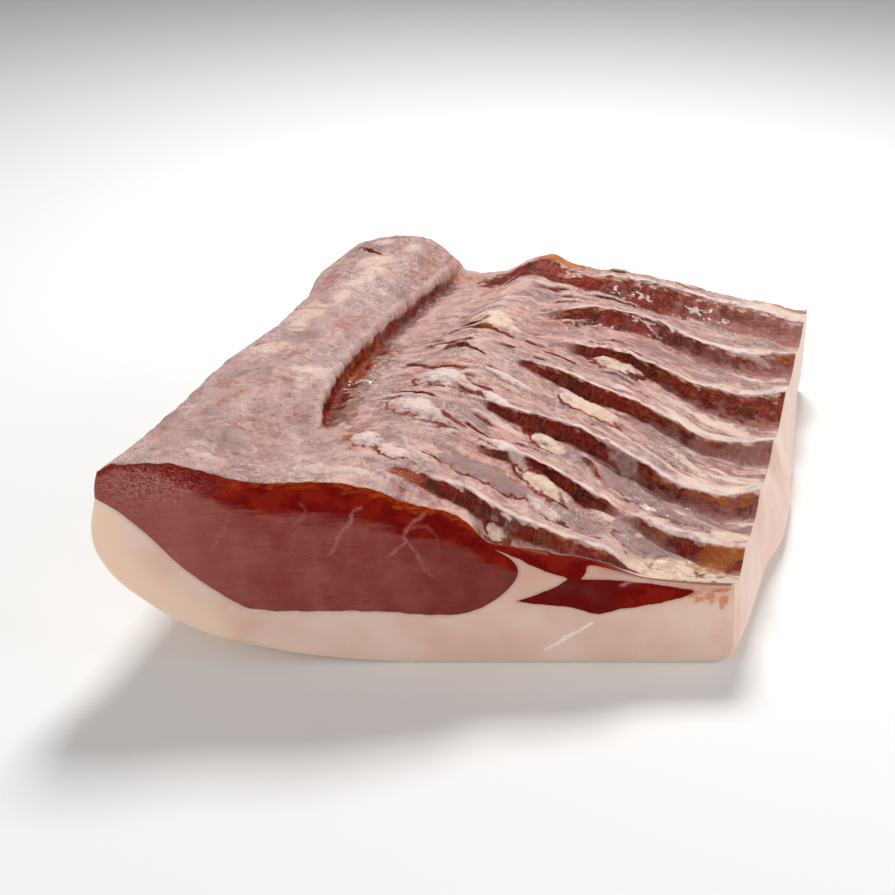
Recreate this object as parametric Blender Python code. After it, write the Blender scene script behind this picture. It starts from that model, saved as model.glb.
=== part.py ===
# A boned, dry-cured pork loin, cut square at both ends and lying on its back fat.
#
# The slab is worked out in millimetres as sections across the loin. In a section, s runs across the
# cut and z runs up. Going back from the front cut by t, a section shifts sideways by SKEW * t.
# Four pieces run through the whole length: the back fat, the eye muscle, the rib meat on top with
# its ridges between the rib beds, and the flank muscle, a lens inside the fat.

import bpy
import bmesh
import numpy as np

# Driving sizes, in millimetres
MM = 0.001
LENGTH = 165.0
SKEW = 0.36
GAP = 0.4
ORIGIN_X = 23.0
ROW_STEP = 0.4
LEFT_S, MIDDLE_S, RIGHT_S = -60.0, 0.0, 60.0

# Top edge of the front cut, and the line its ridges reach just behind it, as (s, z)
FRONT_EDGE = ((-88.4, 62.4), (-84.0, 64.6), (-70.0, 64.4), (-60.5, 61.6), (-52.0, 59.3), (-27.0, 58.5),
              (-18.0, 56.6), (-12.2, 53.4), (0.6, 49.8), (4.5, 47.3), (8.5, 42.6), (10.6, 41.1),
              (29.5, 36.9), (40.2, 34.1), (54.0, 28.9), (76.6, 27.2))
FRONT_CREST = ((-88.4, 62.4), (-84.0, 64.6), (-70.0, 64.4), (-60.5, 61.6), (-52.0, 59.3), (-27.0, 58.5),
               (-15.0, 56.8), (-5.0, 54.5), (5.0, 51.0), (12.0, 47.2), (20.0, 44.5), (30.0, 41.5),
               (40.0, 38.2), (48.0, 35.6), (60.0, 34.0), (77.0, 33.0))
BACK_CREST = ((-98.0, 57.0), (-91.0, 61.5), (-76.0, 64.0), (-66.0, 62.5), (-52.0, 52.0), (-46.0, 50.0),
              (-38.0, 50.5), (-22.0, 57.0), (-10.0, 52.5), (13.0, 49.0), (36.0, 43.0), (60.0, 37.5),
              (77.0, 34.5))

# The deep step where the left muscle stands over the middle one, as (t, s), and its height
STEP_LINE = ((30.0, -46.0), (45.0, -50.5), (60.0, -53.5), (80.0, -55.0), (120.0, -54.5), (150.0, -53.0),
             (165.0, -54.0))
STEP_STRENGTH = ((24.0, 0.0), (44.0, 1.0), (148.0, 1.0), (165.0, 0.35))
STEP_HEIGHT = 6.4
STEP_REACH = 9.0
STEP_HALF_WIDTH = 1.3
STEP_FACE = 1.8

# Left and right edges of the top, and how far the right wall's foot stands out, as (t, s)
LEFT_EDGE = ((0.0, -88.4), (16.0, -85.5), (34.0, -86.0), (60.0, -88.5), (84.0, -84.5), (104.0, -85.0),
             (122.0, -89.5), (145.0, -96.5), (165.0, -97.5))
RIGHT_EDGE = ((0.0, 76.6), (10.0, 77.5), (165.0, 77.5))
RIGHT_FOOT = ((0.0, 78.9), (14.0, 81.0), (37.0, 82.8), (57.0, 86.0), (75.0, 85.6), (97.0, 83.4),
              (130.0, 80.8), (165.0, 79.2))
FOOT_RADIUS = 5.5
WALL_LEAN = 1.3

# Outer curve of the fat from the lean's edge on the left down to the flat underside, as (s, z): at
# the cut, where it lifts, and further in, where the fat has settled flat
LEFT_CUT = ((-90.2, 54.0), (-92.8, 44.2), (-91.5, 35.3), (-84.9, 24.9), (-67.6, 11.4), (-40.7, 3.4),
            (-10.0, 0.0))
LEFT_INNER = ((-90.2, 54.0), (-92.6, 43.0), (-91.4, 31.0), (-85.5, 18.0), (-73.0, 6.6), (-54.0, 0.0),
              (-10.0, 0.0))
SETTLE_RUN = 32.0
FLAT_START = LEFT_CUT[-1][0]
SIDE_SHIFT = (20.0, 70.0)
SIDE_SINK = (20.0, 60.0)

# Borders between the pieces in a section, as (s, z)
EYE_UNDER = ((-84.3, 49.5), (-77.5, 42.0), (-70.7, 33.1), (-62.2, 24.9), (-54.0, 19.2), (-44.0, 17.9),
             (-21.0, 17.9), (-4.0, 16.6), (4.7, 17.2), (11.4, 20.6), (16.8, 26.0), (18.7, 31.0),
             (16.6, 35.0))
EYE_SHIFT = (40.0, 84.0)
APEX_CUT = (12.2, 38.2)
APEX_INNER = (13.4, 37.4)
SEAM_CUT = 10.6
SEAM_INNER = -16.0
SEAM_RUN = 20.0
SEAM_BEND = ((-14.0, 49.0), (0.0, 44.6), (8.0, 41.2))
RIB_UNDER_LEFT = ((17.7, 35.6), (25.8, 31.0), (31.5, 29.0))
NECK_HALF = 1.8
NECK_DROP = 0.25
NECK_CUT = (33.7, 28.4)
NECK_INNER = (33.7, 28.0)
RIB_UNDER_CUT = ((36.6, 30.4), (38.4, 33.0), (52.0, 28.9), (64.0, 27.2), (74.6, 26.3), (75.8, 26.8))
RIB_UNDER_INNER = ((38.0, 28.3), (44.0, 27.8), (54.0, 26.2), (64.0, 23.8), (74.6, 21.8), (75.8, 24.0))
RIB_RIGHT = 75.8
RIB_SINK_RUN = 12.0
LENS_TOP_CUT = ((43.2, 28.2), (51.0, 27.4), (59.0, 26.2), (66.0, 24.2))
LENS_TOP_INNER = ((42.0, 26.2), (50.0, 24.8), (57.0, 23.0), (64.0, 20.6))
LENS_UNDER = ((57.0, 20.6), (47.0, 18.6), (40.5, 16.9), (33.0, 19.2), (24.0, 20.2))
LENS_LEFT_TIP = (18.6, 21.2)
LENS_LEFT_TOP = ((24.0, 23.4), (29.0, 26.0))

# The ridges of meat left between the rib beds, from the front cut to the back: the crest's line as
# (s, t), how far the rib bed in front lies below it, how far forward its dark flank reaches, and
# where the crest itself sinks, each as (s, mm)
RIDGES = (
    dict(crest=((-20, 11), (-5, 9), (8, 7), (18, 4.5), (27, 2.6), (48, 1.2)),
         depth=((-22, 0), (-2, 3), (12, 4.6), (34, 4.6), (44, 4.6), (52, 5.6)),
         run=((-20, 3), (8, 3), (18, 2.4), (27, 1.6), (48, 0.8)),
         sink=((40, 0), (52, 5.6))),
    dict(crest=((-15, 31), (3, 29), (11, 32), (26, 26), (46, 18.5), (60, 12), (78, 9)),
         depth=((-16, 0), (0, 1.6), (16, 3.2), (32, 4.2), (42, 3), (55, 5), (78, 6)),
         run=((-16, 2), (32, 2.5), (46, 3), (60, 4), (78, 7)),
         sink=((34, 0), (41, 1.2), (48, 0))),
    dict(crest=((-12, 54), (5, 52), (16, 54), (28, 50), (44, 43), (57, 36), (66, 34), (78, 38)),
         depth=((-14, 0), (-5, 2.8), (12, 5), (50, 6), (60, 4.8), (78, 7)),
         run=((-14, 2), (50, 3), (78, 6)),
         sink=((0, 0),)),
    dict(crest=((-14, 83), (10, 81), (30, 76), (44, 72), (58, 64), (68, 64), (78, 68)),
         depth=((-15, 0), (6, 3.8), (20, 5), (60, 5), (78, 6.5)),
         run=((-14, 2), (58, 3), (78, 7)),
         sink=((0, 0),)),
    dict(crest=((-8, 98), (8, 101), (20, 103), (38, 99), (52, 95), (64, 94), (78, 99)),
         depth=((-9, 0), (6, 2.4), (31, 4.4), (46, 6.2), (64, 7.6), (78, 8)),
         run=((-8, 2), (40, 3), (55, 5), (68, 9), (78, 13)),
         sink=((0, 0),)),
    dict(crest=((-14, 115), (-4, 125), (8, 132), (24, 132), (45, 125), (60, 123), (78, 128)),
         depth=((-15, 0), (0, 3.4), (24, 4.8), (78, 6)),
         run=((-14, 3), (10, 6), (45, 5), (78, 8)),
         sink=((0, 0),)),
    dict(crest=((-14, 150), (0, 158), (14, 160), (60, 158), (78, 154)),
         depth=((-13, 0), (5, 3.6), (28, 5.6), (78, 6)),
         run=((-14, 6), (14, 12), (78, 10)),
         sink=((0, 0),)),
)
BED_STATIONS = 2
SLOPE_EASE = 0.7

# Points along each part of a section
LEFT_TOP_POINTS = 11
RIGHT_TOP_POINTS = 9
RIB_TOP_POINTS = 30
EYE_POINTS = 14
OUTER_POINTS = 14
WALL_POINTS = 4
FOOT_POINTS = 4
FLOOR_POINTS = 4
SPLINE_STEPS = 12
SHARPEST_CORNER = 0.6
SMOOTH_ANGLE = 35


def smooth_curve(points):
    """A function that runs smoothly through the points and is level beyond them."""
    x, y = np.array(points, float).T
    if len(x) == 1:
        return lambda value: np.full_like(np.asarray(value, float), y[0])
    h = np.diff(x)
    slope = np.diff(y) / h
    m = np.zeros(len(x))
    for i in range(1, len(x) - 1):
        if slope[i - 1] * slope[i] > 0:
            w1 = 2 * h[i] + h[i - 1]
            w2 = h[i] + 2 * h[i - 1]
            m[i] = (w1 + w2) / (w1 / slope[i - 1] + w2 / slope[i])

    def at(value):
        v = np.clip(np.asarray(value, float), x[0], x[-1])
        i = np.clip(np.searchsorted(x, v, side="right") - 1, 0, len(h) - 1)
        u = (v - x[i]) / h[i]
        rise = (1 + 2 * u) * (1 - u) ** 2 * y[i] + u ** 2 * (3 - 2 * u) * y[i + 1]
        return rise + h[i] * u * (1 - u) * ((1 - u) * m[i] - u * m[i + 1])
    return at


def ease(value, start, end):
    """0 before start, 1 after end, smooth between."""
    u = np.clip((np.asarray(value, float) - start) / (end - start), 0, 1)
    return u * u * (3 - 2 * u)


def mix(a, b, u):
    return a + (b - a) * u


def spline(points, count):
    """A smooth open curve through the points, as count points evenly spaced along it."""
    p = np.array(points, float)
    p = np.vstack([2 * p[0] - p[1], p, 2 * p[-1] - p[-2]])
    fine = []
    for i in range(1, len(p) - 2):
        for u in np.linspace(0, 1, SPLINE_STEPS, endpoint=False):
            a = -p[i - 1] + 3 * p[i] - 3 * p[i + 1] + p[i + 2]
            b = 2 * p[i - 1] - 5 * p[i] + 4 * p[i + 1] - p[i + 2]
            fine.append(p[i] + 0.5 * u * (p[i + 1] - p[i - 1] + u * (b + u * a)))
    fine = np.array(fine + [p[-2]])
    along = np.concatenate([[0], np.cumsum(np.linalg.norm(np.diff(fine, axis=0), axis=1))])
    want = np.linspace(0, along[-1], count)
    return np.column_stack([np.interp(want, along, fine[:, k]) for k in (0, 1)])


front_edge = smooth_curve(FRONT_EDGE)
front_crest = smooth_curve(FRONT_CREST)
back_crest = smooth_curve(BACK_CREST)
step_line = smooth_curve(STEP_LINE)
step_strength = smooth_curve(STEP_STRENGTH)
left_edge = smooth_curve(LEFT_EDGE)
right_edge = smooth_curve(RIGHT_EDGE)
right_foot = smooth_curve(RIGHT_FOOT)
ridges = [{key: smooth_curve(points) for key, points in ridge.items()} for ridge in RIDGES]


def step(s, t):
    """The step up to the left muscle: raised on its left, sunk on its right, fading both ways."""
    away = np.asarray(s, float) - step_line(t)
    fade = np.exp(-np.abs(away) / STEP_REACH)
    return -0.5 * STEP_HEIGHT * step_strength(t) * np.tanh(away / STEP_HALF_WIDTH) * fade


def crest_level(s, t):
    """Height that the ridges' crests reach, and of the smooth meat left of them."""
    return mix(front_crest(s), back_crest(s), np.asarray(t, float) / LENGTH) + step(s, t)


def stations(s):
    """Depths t of the rows at each s, from the front cut to the back, and each row's drop below
    crest level: a rib bed's edge, a crest, and rows down the slope behind it, in turn."""
    s = np.asarray(s, float)
    t_rows = [np.zeros_like(s)]
    drops = [front_crest(s) - front_edge(s)]
    for number, ridge in enumerate(ridges):
        crest_t = ridge["crest"](s)
        crest_drop = ridge["sink"](s)
        edge_t = np.maximum(crest_t - ridge["run"](s), 0)
        edge_drop = ridge["depth"](s)
        if number:
            last_t, last_drop = t_rows[-1], drops[-1]
            for k in range(1, BED_STATIONS + 1):
                u = k / (BED_STATIONS + 1)
                t_rows.append(mix(last_t, edge_t, u))
                drops.append(mix(last_drop, edge_drop, ease(u ** SLOPE_EASE, 0, 1)))
        t_rows += [edge_t, crest_t]
        drops += [edge_drop, crest_drop]
    t_rows.append(np.full_like(s, LENGTH))
    drops.append(np.zeros_like(s))
    for j in range(1, len(t_rows)):
        t_rows[j] = np.maximum(t_rows[j], t_rows[j - 1] + ROW_STEP)
    t_rows[-1] = np.full_like(s, LENGTH)
    return t_rows, drops


ROWS = len(stations(0.0)[0])


def row_point(row, s):
    """Depth and height of the top surface where a row crosses s."""
    t_rows, drops = stations(s)
    t = t_rows[row]
    return t, crest_level(s, t) - drops[row]


def top_line(row, s):
    """Points (s, z) of the top surface along a row."""
    return np.column_stack([s, row_point(row, s)[1]])


class Section:
    """One row's borders between the pieces, as lists of (s, z)."""

    def __init__(self, row):
        self.row = row
        self.t_left = float(row_point(row, LEFT_S)[0])
        self.t_mid = float(row_point(row, MIDDLE_S)[0])
        self.t_right = float(row_point(row, RIGHT_S)[0])
        self.settled = float(ease(self.t_left, 0, SETTLE_RUN))
        self.past_seam = float(ease(self.t_mid, 0, SEAM_RUN))
        self.past_cut = float(ease(self.t_right, 0, RIB_SINK_RUN))
        self.corner_left = float(left_edge(self.t_left))
        self.corner_right = float(right_edge(self.t_right))

    def seam_s(self):
        return mix(SEAM_CUT, SEAM_INNER, self.past_seam)

    def apex(self):
        return mix(np.array(APEX_CUT), np.array(APEX_INNER), self.past_seam)

    def neck(self):
        return mix(np.array(NECK_CUT), np.array(NECK_INNER), self.past_cut)

    def outer_left(self):
        """From the lean's edge on the outer left side down to the underside's flat."""
        cut = spline(LEFT_CUT, OUTER_POINTS)
        inner = spline(LEFT_INNER, OUTER_POINTS)
        line = mix(cut, inner, self.settled)
        shift = self.corner_left - LEFT_EDGE[0][1]
        line[:, 0] += shift * ease(-line[:, 0], *SIDE_SHIFT)
        sunk = FRONT_EDGE[0][1] - top_line(self.row, np.array([self.corner_left]))[0, 1]
        line[:, 1] = np.maximum(line[:, 1] - sunk * ease(line[:, 1], *SIDE_SINK), 0)
        return line

    def eye_under(self):
        """From the outer left side under the eye muscle to its right tip, short of the apex."""
        line = spline(EYE_UNDER, EYE_POINTS)
        shift = self.corner_left - LEFT_EDGE[0][1]
        line[:, 0] += shift * ease(-line[:, 0], *EYE_SHIFT)
        return line

    def seam(self):
        """From the seam on top down between eye muscle and rib meat, short of both ends."""
        top = top_line(self.row, np.array([self.seam_s()]))[0]
        apex = self.apex()
        straight = np.array([mix(top, apex, u) for u in (0.25, 0.5, 0.75)])
        return mix(straight, np.array(SEAM_BEND), self.past_seam)

    def rib_under_left(self):
        return np.array(RIB_UNDER_LEFT, float)

    def rib_under_right(self):
        return mix(np.array(RIB_UNDER_CUT), np.array(RIB_UNDER_INNER), self.past_cut)

    def lens_right(self):
        """From the neck over the flank muscle's right part and back under it to its left tip."""
        top = mix(np.array(LENS_TOP_CUT), np.array(LENS_TOP_INNER), self.past_cut)
        return np.vstack([top, LENS_UNDER, [LENS_LEFT_TIP]])

    def right_wall(self):
        """From the flat underside round the foot and up the right wall to the top corner."""
        foot_s = float(right_foot(self.t_right))
        turn = np.linspace(-np.pi / 2, 0, FOOT_POINTS)
        centre = np.array([foot_s - FOOT_RADIUS, FOOT_RADIUS])
        foot = centre + FOOT_RADIUS * np.column_stack([np.cos(turn), np.sin(turn)])
        top = top_line(self.row, np.array([self.corner_right]))[0]
        u = np.linspace(0, 1, WALL_POINTS + 1)[1:]
        wall = np.column_stack([mix(foot_s, top[0], u ** WALL_LEAN), mix(FOOT_RADIUS, top[1], u)])
        return np.vstack([foot, wall])


# A run of a piece's outline: its points, whether it borders another piece, and which way its
# four-sided faces are split, so that both sides of a border are split alike
def run(points, border, split):
    return np.atleast_2d(np.array(points, float)), border, split


def back_fat_outline(c):
    neck = c.neck()
    right = np.array([NECK_HALF, 0.0])
    lens = c.lens_right()
    outer = c.outer_left()
    under = np.linspace(FLAT_START, c.right_wall()[0, 0], FLOOR_POINTS + 2)[1:-1]
    flat = np.column_stack([under, np.zeros(FLOOR_POINTS)])
    return [run(outer[0], True, 0),
            run(outer[1:], False, 0),
            run(flat, False, 0),
            run(c.right_wall(), False, 0),
            run(top_line(c.row, np.array([RIB_RIGHT])), True, 1),
            run(c.rib_under_right()[::-1], True, 1),
            run(neck + right, True, 1),
            run(lens, True, 1),
            run(LENS_LEFT_TOP, True, 1),
            run(neck - right, True, 1),
            run(c.rib_under_left()[::-1], True, 1),
            run(c.apex(), True, 1),
            run(c.eye_under()[::-1], True, 1)]


def eye_muscle_outline(c):
    wall = float(step_line(c.t_left))
    tops = np.concatenate([np.linspace(c.seam_s(), wall + STEP_FACE, RIGHT_TOP_POINTS), [wall],
                           np.linspace(wall - STEP_FACE, c.corner_left, LEFT_TOP_POINTS)])
    line = top_line(c.row, tops)
    lean_left = c.outer_left()[0]
    return [run(lean_left, True, 0),
            run(c.eye_under(), True, 0),
            run(c.apex(), True, 0),
            run(c.seam()[::-1], True, 0),
            run(line[:1], True, 0),
            run(line[1:], False, 0),
            run(mix(line[-1], lean_left, 0.5), False, 0)]


def rib_meat_outline(c):
    neck = c.neck()
    line = top_line(c.row, np.linspace(RIB_RIGHT, c.seam_s(), RIB_TOP_POINTS))
    return [run(c.apex(), True, 0),
            run(c.rib_under_left(), True, 0),
            run(neck - [NECK_HALF, 0.0], True, 0),
            run(neck + [NECK_HALF, 0.0], True, 0),
            run(c.rib_under_right(), True, 0),
            run(line[:1], True, 0),
            run(line[1:-1], False, 1),
            run(line[-1:], True, 1),
            run(c.seam(), True, 1)]


def flank_muscle_outline(c):
    neck = c.neck() - [0.0, NECK_DROP]
    lens = c.lens_right()[::-1]
    return [run(lens, True, 0),
            run(neck + [NECK_HALF, 0.0], True, 0),
            run(neck - [NECK_HALF, 0.0], True, 0),
            run(np.array(LENS_LEFT_TOP)[::-1], True, 0)]


def inset(points, border):
    """Draws the bordering points of a closed outline in by half the gap between pieces."""
    before = points - np.roll(points, 1, axis=0)
    after = np.roll(points, -1, axis=0) - points
    before = before / np.linalg.norm(before, axis=1)[:, None]
    after = after / np.linalg.norm(after, axis=1)[:, None]
    last_border = np.roll(border, 1)
    next_border = np.roll(border, -1)
    inward = np.zeros_like(points)
    for i in range(len(points)):
        if not border[i]:
            continue
        if not last_border[i]:
            direction = -before[i]
        elif not next_border[i]:
            direction = after[i]
        else:
            middle = before[i] + after[i]
            middle = middle / np.linalg.norm(middle)
            direction = np.array([-middle[1], middle[0]])
            direction = direction / max(abs(np.dot(middle, before[i])), SHARPEST_CORNER)
        inward[i] = direction
    return points + inward * GAP / 2


def piece_mesh(name, outline):
    """Lofts a piece through the rows and closes it with the two cut faces."""
    mesh = bmesh.new()
    rows = []
    for row in range(ROWS):
        runs = outline(Section(row))
        points = np.vstack([r[0] for r in runs])
        border = np.concatenate([np.full(len(r[0]), r[1]) for r in runs])
        split = np.concatenate([np.full(len(r[0]), r[2]) for r in runs])
        flat = inset(points, border)
        t = row_point(row, flat[:, 0])[0]
        x = flat[:, 0] + SKEW * t - ORIGIN_X
        y = t - LENGTH / 2
        rows.append([mesh.verts.new((a * MM, b * MM, c * MM)) for a, b, c in zip(x, y, flat[:, 1])])
    count = len(rows[0])
    for front, back in zip(rows, rows[1:]):
        for i in range(count):
            k = (i + 1) % count
            if split[i]:
                mesh.faces.new((front[i], back[i], front[k]))
                mesh.faces.new((front[k], back[i], back[k]))
            else:
                mesh.faces.new((front[i], back[k], front[k]))
                mesh.faces.new((front[i], back[i], back[k]))
    cut_faces = [mesh.faces.new(rows[0]), mesh.faces.new(rows[-1][::-1])]
    mesh.normal_update()
    bmesh.ops.triangulate(mesh, faces=cut_faces)
    data = bpy.data.meshes.new(name)
    mesh.to_mesh(data)
    mesh.free()
    data.shade_smooth()
    data.set_sharp_from_angle(angle=np.radians(SMOOTH_ANGLE))
    return data


def plain_material(name, colour, roughness):
    material = bpy.data.materials.new(name)
    material.use_nodes = True
    shader = material.node_tree.nodes["Principled BSDF"]
    shader.inputs["Base Color"].default_value = (*colour, 1.0)
    shader.inputs["Roughness"].default_value = roughness
    shader.inputs["Metallic"].default_value = 0.0
    return material


def clear_scene():
    for thing in list(bpy.data.objects):
        bpy.data.objects.remove(thing)


def build():
    clear_scene()
    group = bpy.data.collections.new("dry_cured_pork_loin")
    bpy.context.scene.collection.children.link(group)
    pieces = (("back_fat", back_fat_outline, (0.66, 0.45, 0.34), 0.45),
              ("eye_muscle", eye_muscle_outline, (0.24, 0.045, 0.035), 0.45),
              ("rib_meat", rib_meat_outline, (0.40, 0.19, 0.16), 0.5),
              ("flank_muscle", flank_muscle_outline, (0.16, 0.015, 0.012), 0.4))
    for name, outline, colour, roughness in pieces:
        piece = bpy.data.objects.new(name, piece_mesh(name, outline))
        piece.data.materials.append(plain_material(name + "_surface", colour, roughness))
        group.objects.link(piece)


build()
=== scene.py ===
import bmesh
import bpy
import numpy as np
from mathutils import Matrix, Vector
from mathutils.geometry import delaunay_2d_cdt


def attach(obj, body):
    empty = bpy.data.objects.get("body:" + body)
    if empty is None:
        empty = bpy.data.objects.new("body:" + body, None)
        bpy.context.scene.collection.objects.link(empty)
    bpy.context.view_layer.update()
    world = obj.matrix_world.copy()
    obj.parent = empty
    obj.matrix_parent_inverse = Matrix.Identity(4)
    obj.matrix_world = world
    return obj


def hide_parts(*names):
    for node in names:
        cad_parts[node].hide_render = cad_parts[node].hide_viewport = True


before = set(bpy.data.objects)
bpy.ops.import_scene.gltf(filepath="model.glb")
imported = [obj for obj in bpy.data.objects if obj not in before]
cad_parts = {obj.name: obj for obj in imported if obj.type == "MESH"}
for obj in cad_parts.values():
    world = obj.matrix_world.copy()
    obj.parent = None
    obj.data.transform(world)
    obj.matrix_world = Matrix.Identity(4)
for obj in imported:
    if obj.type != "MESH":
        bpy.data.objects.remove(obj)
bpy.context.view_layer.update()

# A boned, dry-cured pork loin on its back fat. Four pieces stand for the four solids: the fat, the
# eye muscle, the rib meat with its ridges, and the flank muscle in the fat.
#
# The slab is worked out in millimetres. s runs across the front cut, t runs back from it and z
# runs up. Going back by t, everything shifts sideways by SKEW * t.

# The solids' driving sizes, in millimetres
MM = 0.001
LENGTH = 165.0
SKEW = 0.36
ORIGIN_X = 23.0
ROW_STEP = 0.4
LEFT_S, MIDDLE_S, RIGHT_S = -60.0, 0.0, 60.0
TOP_LIMIT = 64.6

# Top edge of the front cut, and the line its ridges reach just behind it, as (s, z)
FRONT_EDGE = ((-88.4, 62.4), (-84.0, 64.6), (-70.0, 64.4), (-60.5, 61.6), (-52.0, 59.3), (-27.0, 58.5),
              (-18.0, 56.6), (-12.2, 53.4), (0.6, 49.8), (4.5, 47.3), (8.5, 42.6), (10.6, 41.1),
              (29.5, 36.9), (40.2, 34.1), (54.0, 28.9), (76.6, 27.2))
FRONT_CREST = ((-88.4, 62.4), (-84.0, 64.6), (-70.0, 64.4), (-60.5, 61.6), (-52.0, 59.3), (-27.0, 58.5),
               (-15.0, 56.8), (-5.0, 54.5), (5.0, 51.0), (12.0, 47.2), (20.0, 44.5), (30.0, 41.5),
               (40.0, 38.2), (48.0, 35.6), (60.0, 34.0), (77.0, 33.0))
BACK_CREST = ((-98.0, 57.0), (-91.0, 61.5), (-76.0, 64.0), (-66.0, 62.5), (-52.0, 52.0), (-46.0, 50.0),
              (-38.0, 50.5), (-22.0, 57.0), (-10.0, 52.5), (13.0, 49.0), (36.0, 43.0), (60.0, 37.5),
              (77.0, 34.5))

# The deep step where the left muscle stands over the middle one, as (t, s), and its height
STEP_LINE = ((30.0, -46.0), (45.0, -50.5), (60.0, -53.5), (80.0, -55.0), (120.0, -54.5), (150.0, -53.0),
             (165.0, -54.0))
STEP_STRENGTH = ((24.0, 0.0), (44.0, 1.0), (148.0, 1.0), (165.0, 0.35))
STEP_HEIGHT = 6.4
STEP_REACH = 9.0
STEP_HALF_WIDTH = 1.3
STEP_FACE = 3.0
STEP_RAGGED = 0.9
UNDERCUT = 1.9

# Left and right edges of the top, and how far the right wall's foot stands out, as (t, s)
LEFT_EDGE = ((0.0, -88.4), (16.0, -85.5), (34.0, -86.0), (60.0, -88.5), (84.0, -84.5), (104.0, -85.0),
             (122.0, -89.5), (145.0, -96.5), (165.0, -97.5))
RIGHT_EDGE = ((0.0, 76.6), (10.0, 77.5), (165.0, 77.5))
RIGHT_FOOT = ((0.0, 78.9), (14.0, 81.0), (37.0, 82.8), (57.0, 86.0), (75.0, 85.6), (97.0, 83.4),
              (130.0, 80.8), (165.0, 79.2))
FOOT_RADIUS = 5.5
WALL_LEAN = 1.3

# Outer curve of the fat from the lean's edge on the left down to the flat underside, as (s, z)
LEFT_CUT = ((-90.2, 54.0), (-92.5, 44.2), (-91.5, 35.3), (-84.9, 24.9), (-67.6, 11.4), (-40.7, 3.4),
            (-10.0, 0.0))
LEFT_INNER = ((-90.2, 54.0), (-92.6, 43.0), (-91.4, 31.0), (-85.5, 18.0), (-73.0, 6.6), (-54.0, 0.0),
              (-10.0, 0.0))
SETTLE_RUN = 32.0
SIDE_SHIFT = (20.0, 70.0)
SIDE_SINK = (20.0, 60.0)

# Borders between the pieces in a section, as (s, z)
EYE_UNDER = ((-84.3, 49.5), (-77.5, 42.0), (-70.7, 33.1), (-62.2, 24.9), (-54.0, 19.2), (-44.0, 17.9),
             (-21.0, 17.9), (-4.0, 16.6), (4.7, 17.2), (11.4, 20.6), (16.8, 26.0), (18.7, 31.0),
             (16.6, 35.0))
EYE_SHIFT = (40.0, 84.0)
APEX_CUT = (12.2, 38.2)
APEX_INNER = (13.4, 37.4)
SEAM_CUT = 10.6
SEAM_INNER = -16.0
SEAM_RUN = 20.0
SEAM_BEND = ((-14.0, 49.0), (0.0, 44.6), (8.0, 41.2))
RIB_UNDER_LEFT = ((17.7, 35.6), (25.8, 31.0), (31.5, 29.0))
NECK_HALF = 1.8
NECK_CUT = (33.7, 28.4)
NECK_INNER = (33.7, 28.0)
RIB_UNDER_CUT = ((36.6, 30.4), (38.4, 33.0), (52.0, 28.9), (64.0, 27.2), (74.6, 26.3), (75.8, 26.8))
RIB_UNDER_INNER = ((38.0, 28.3), (44.0, 27.8), (54.0, 26.2), (64.0, 23.8), (74.6, 21.8), (75.8, 24.0))
RIB_RIGHT = 75.8
RIB_SINK_RUN = 12.0
LENS_TOP_CUT = ((43.2, 28.2), (51.0, 27.4), (59.0, 26.2), (66.0, 24.2))
LENS_TOP_INNER = ((42.0, 26.2), (50.0, 24.8), (57.0, 23.0), (64.0, 20.6))
LENS_UNDER = ((57.0, 20.6), (47.0, 18.6), (40.5, 16.9), (33.0, 19.2), (24.0, 20.2))
LENS_LEFT_TIP = (18.6, 21.2)
LENS_LEFT_TOP = ((24.0, 23.4), (29.0, 26.0))

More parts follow.
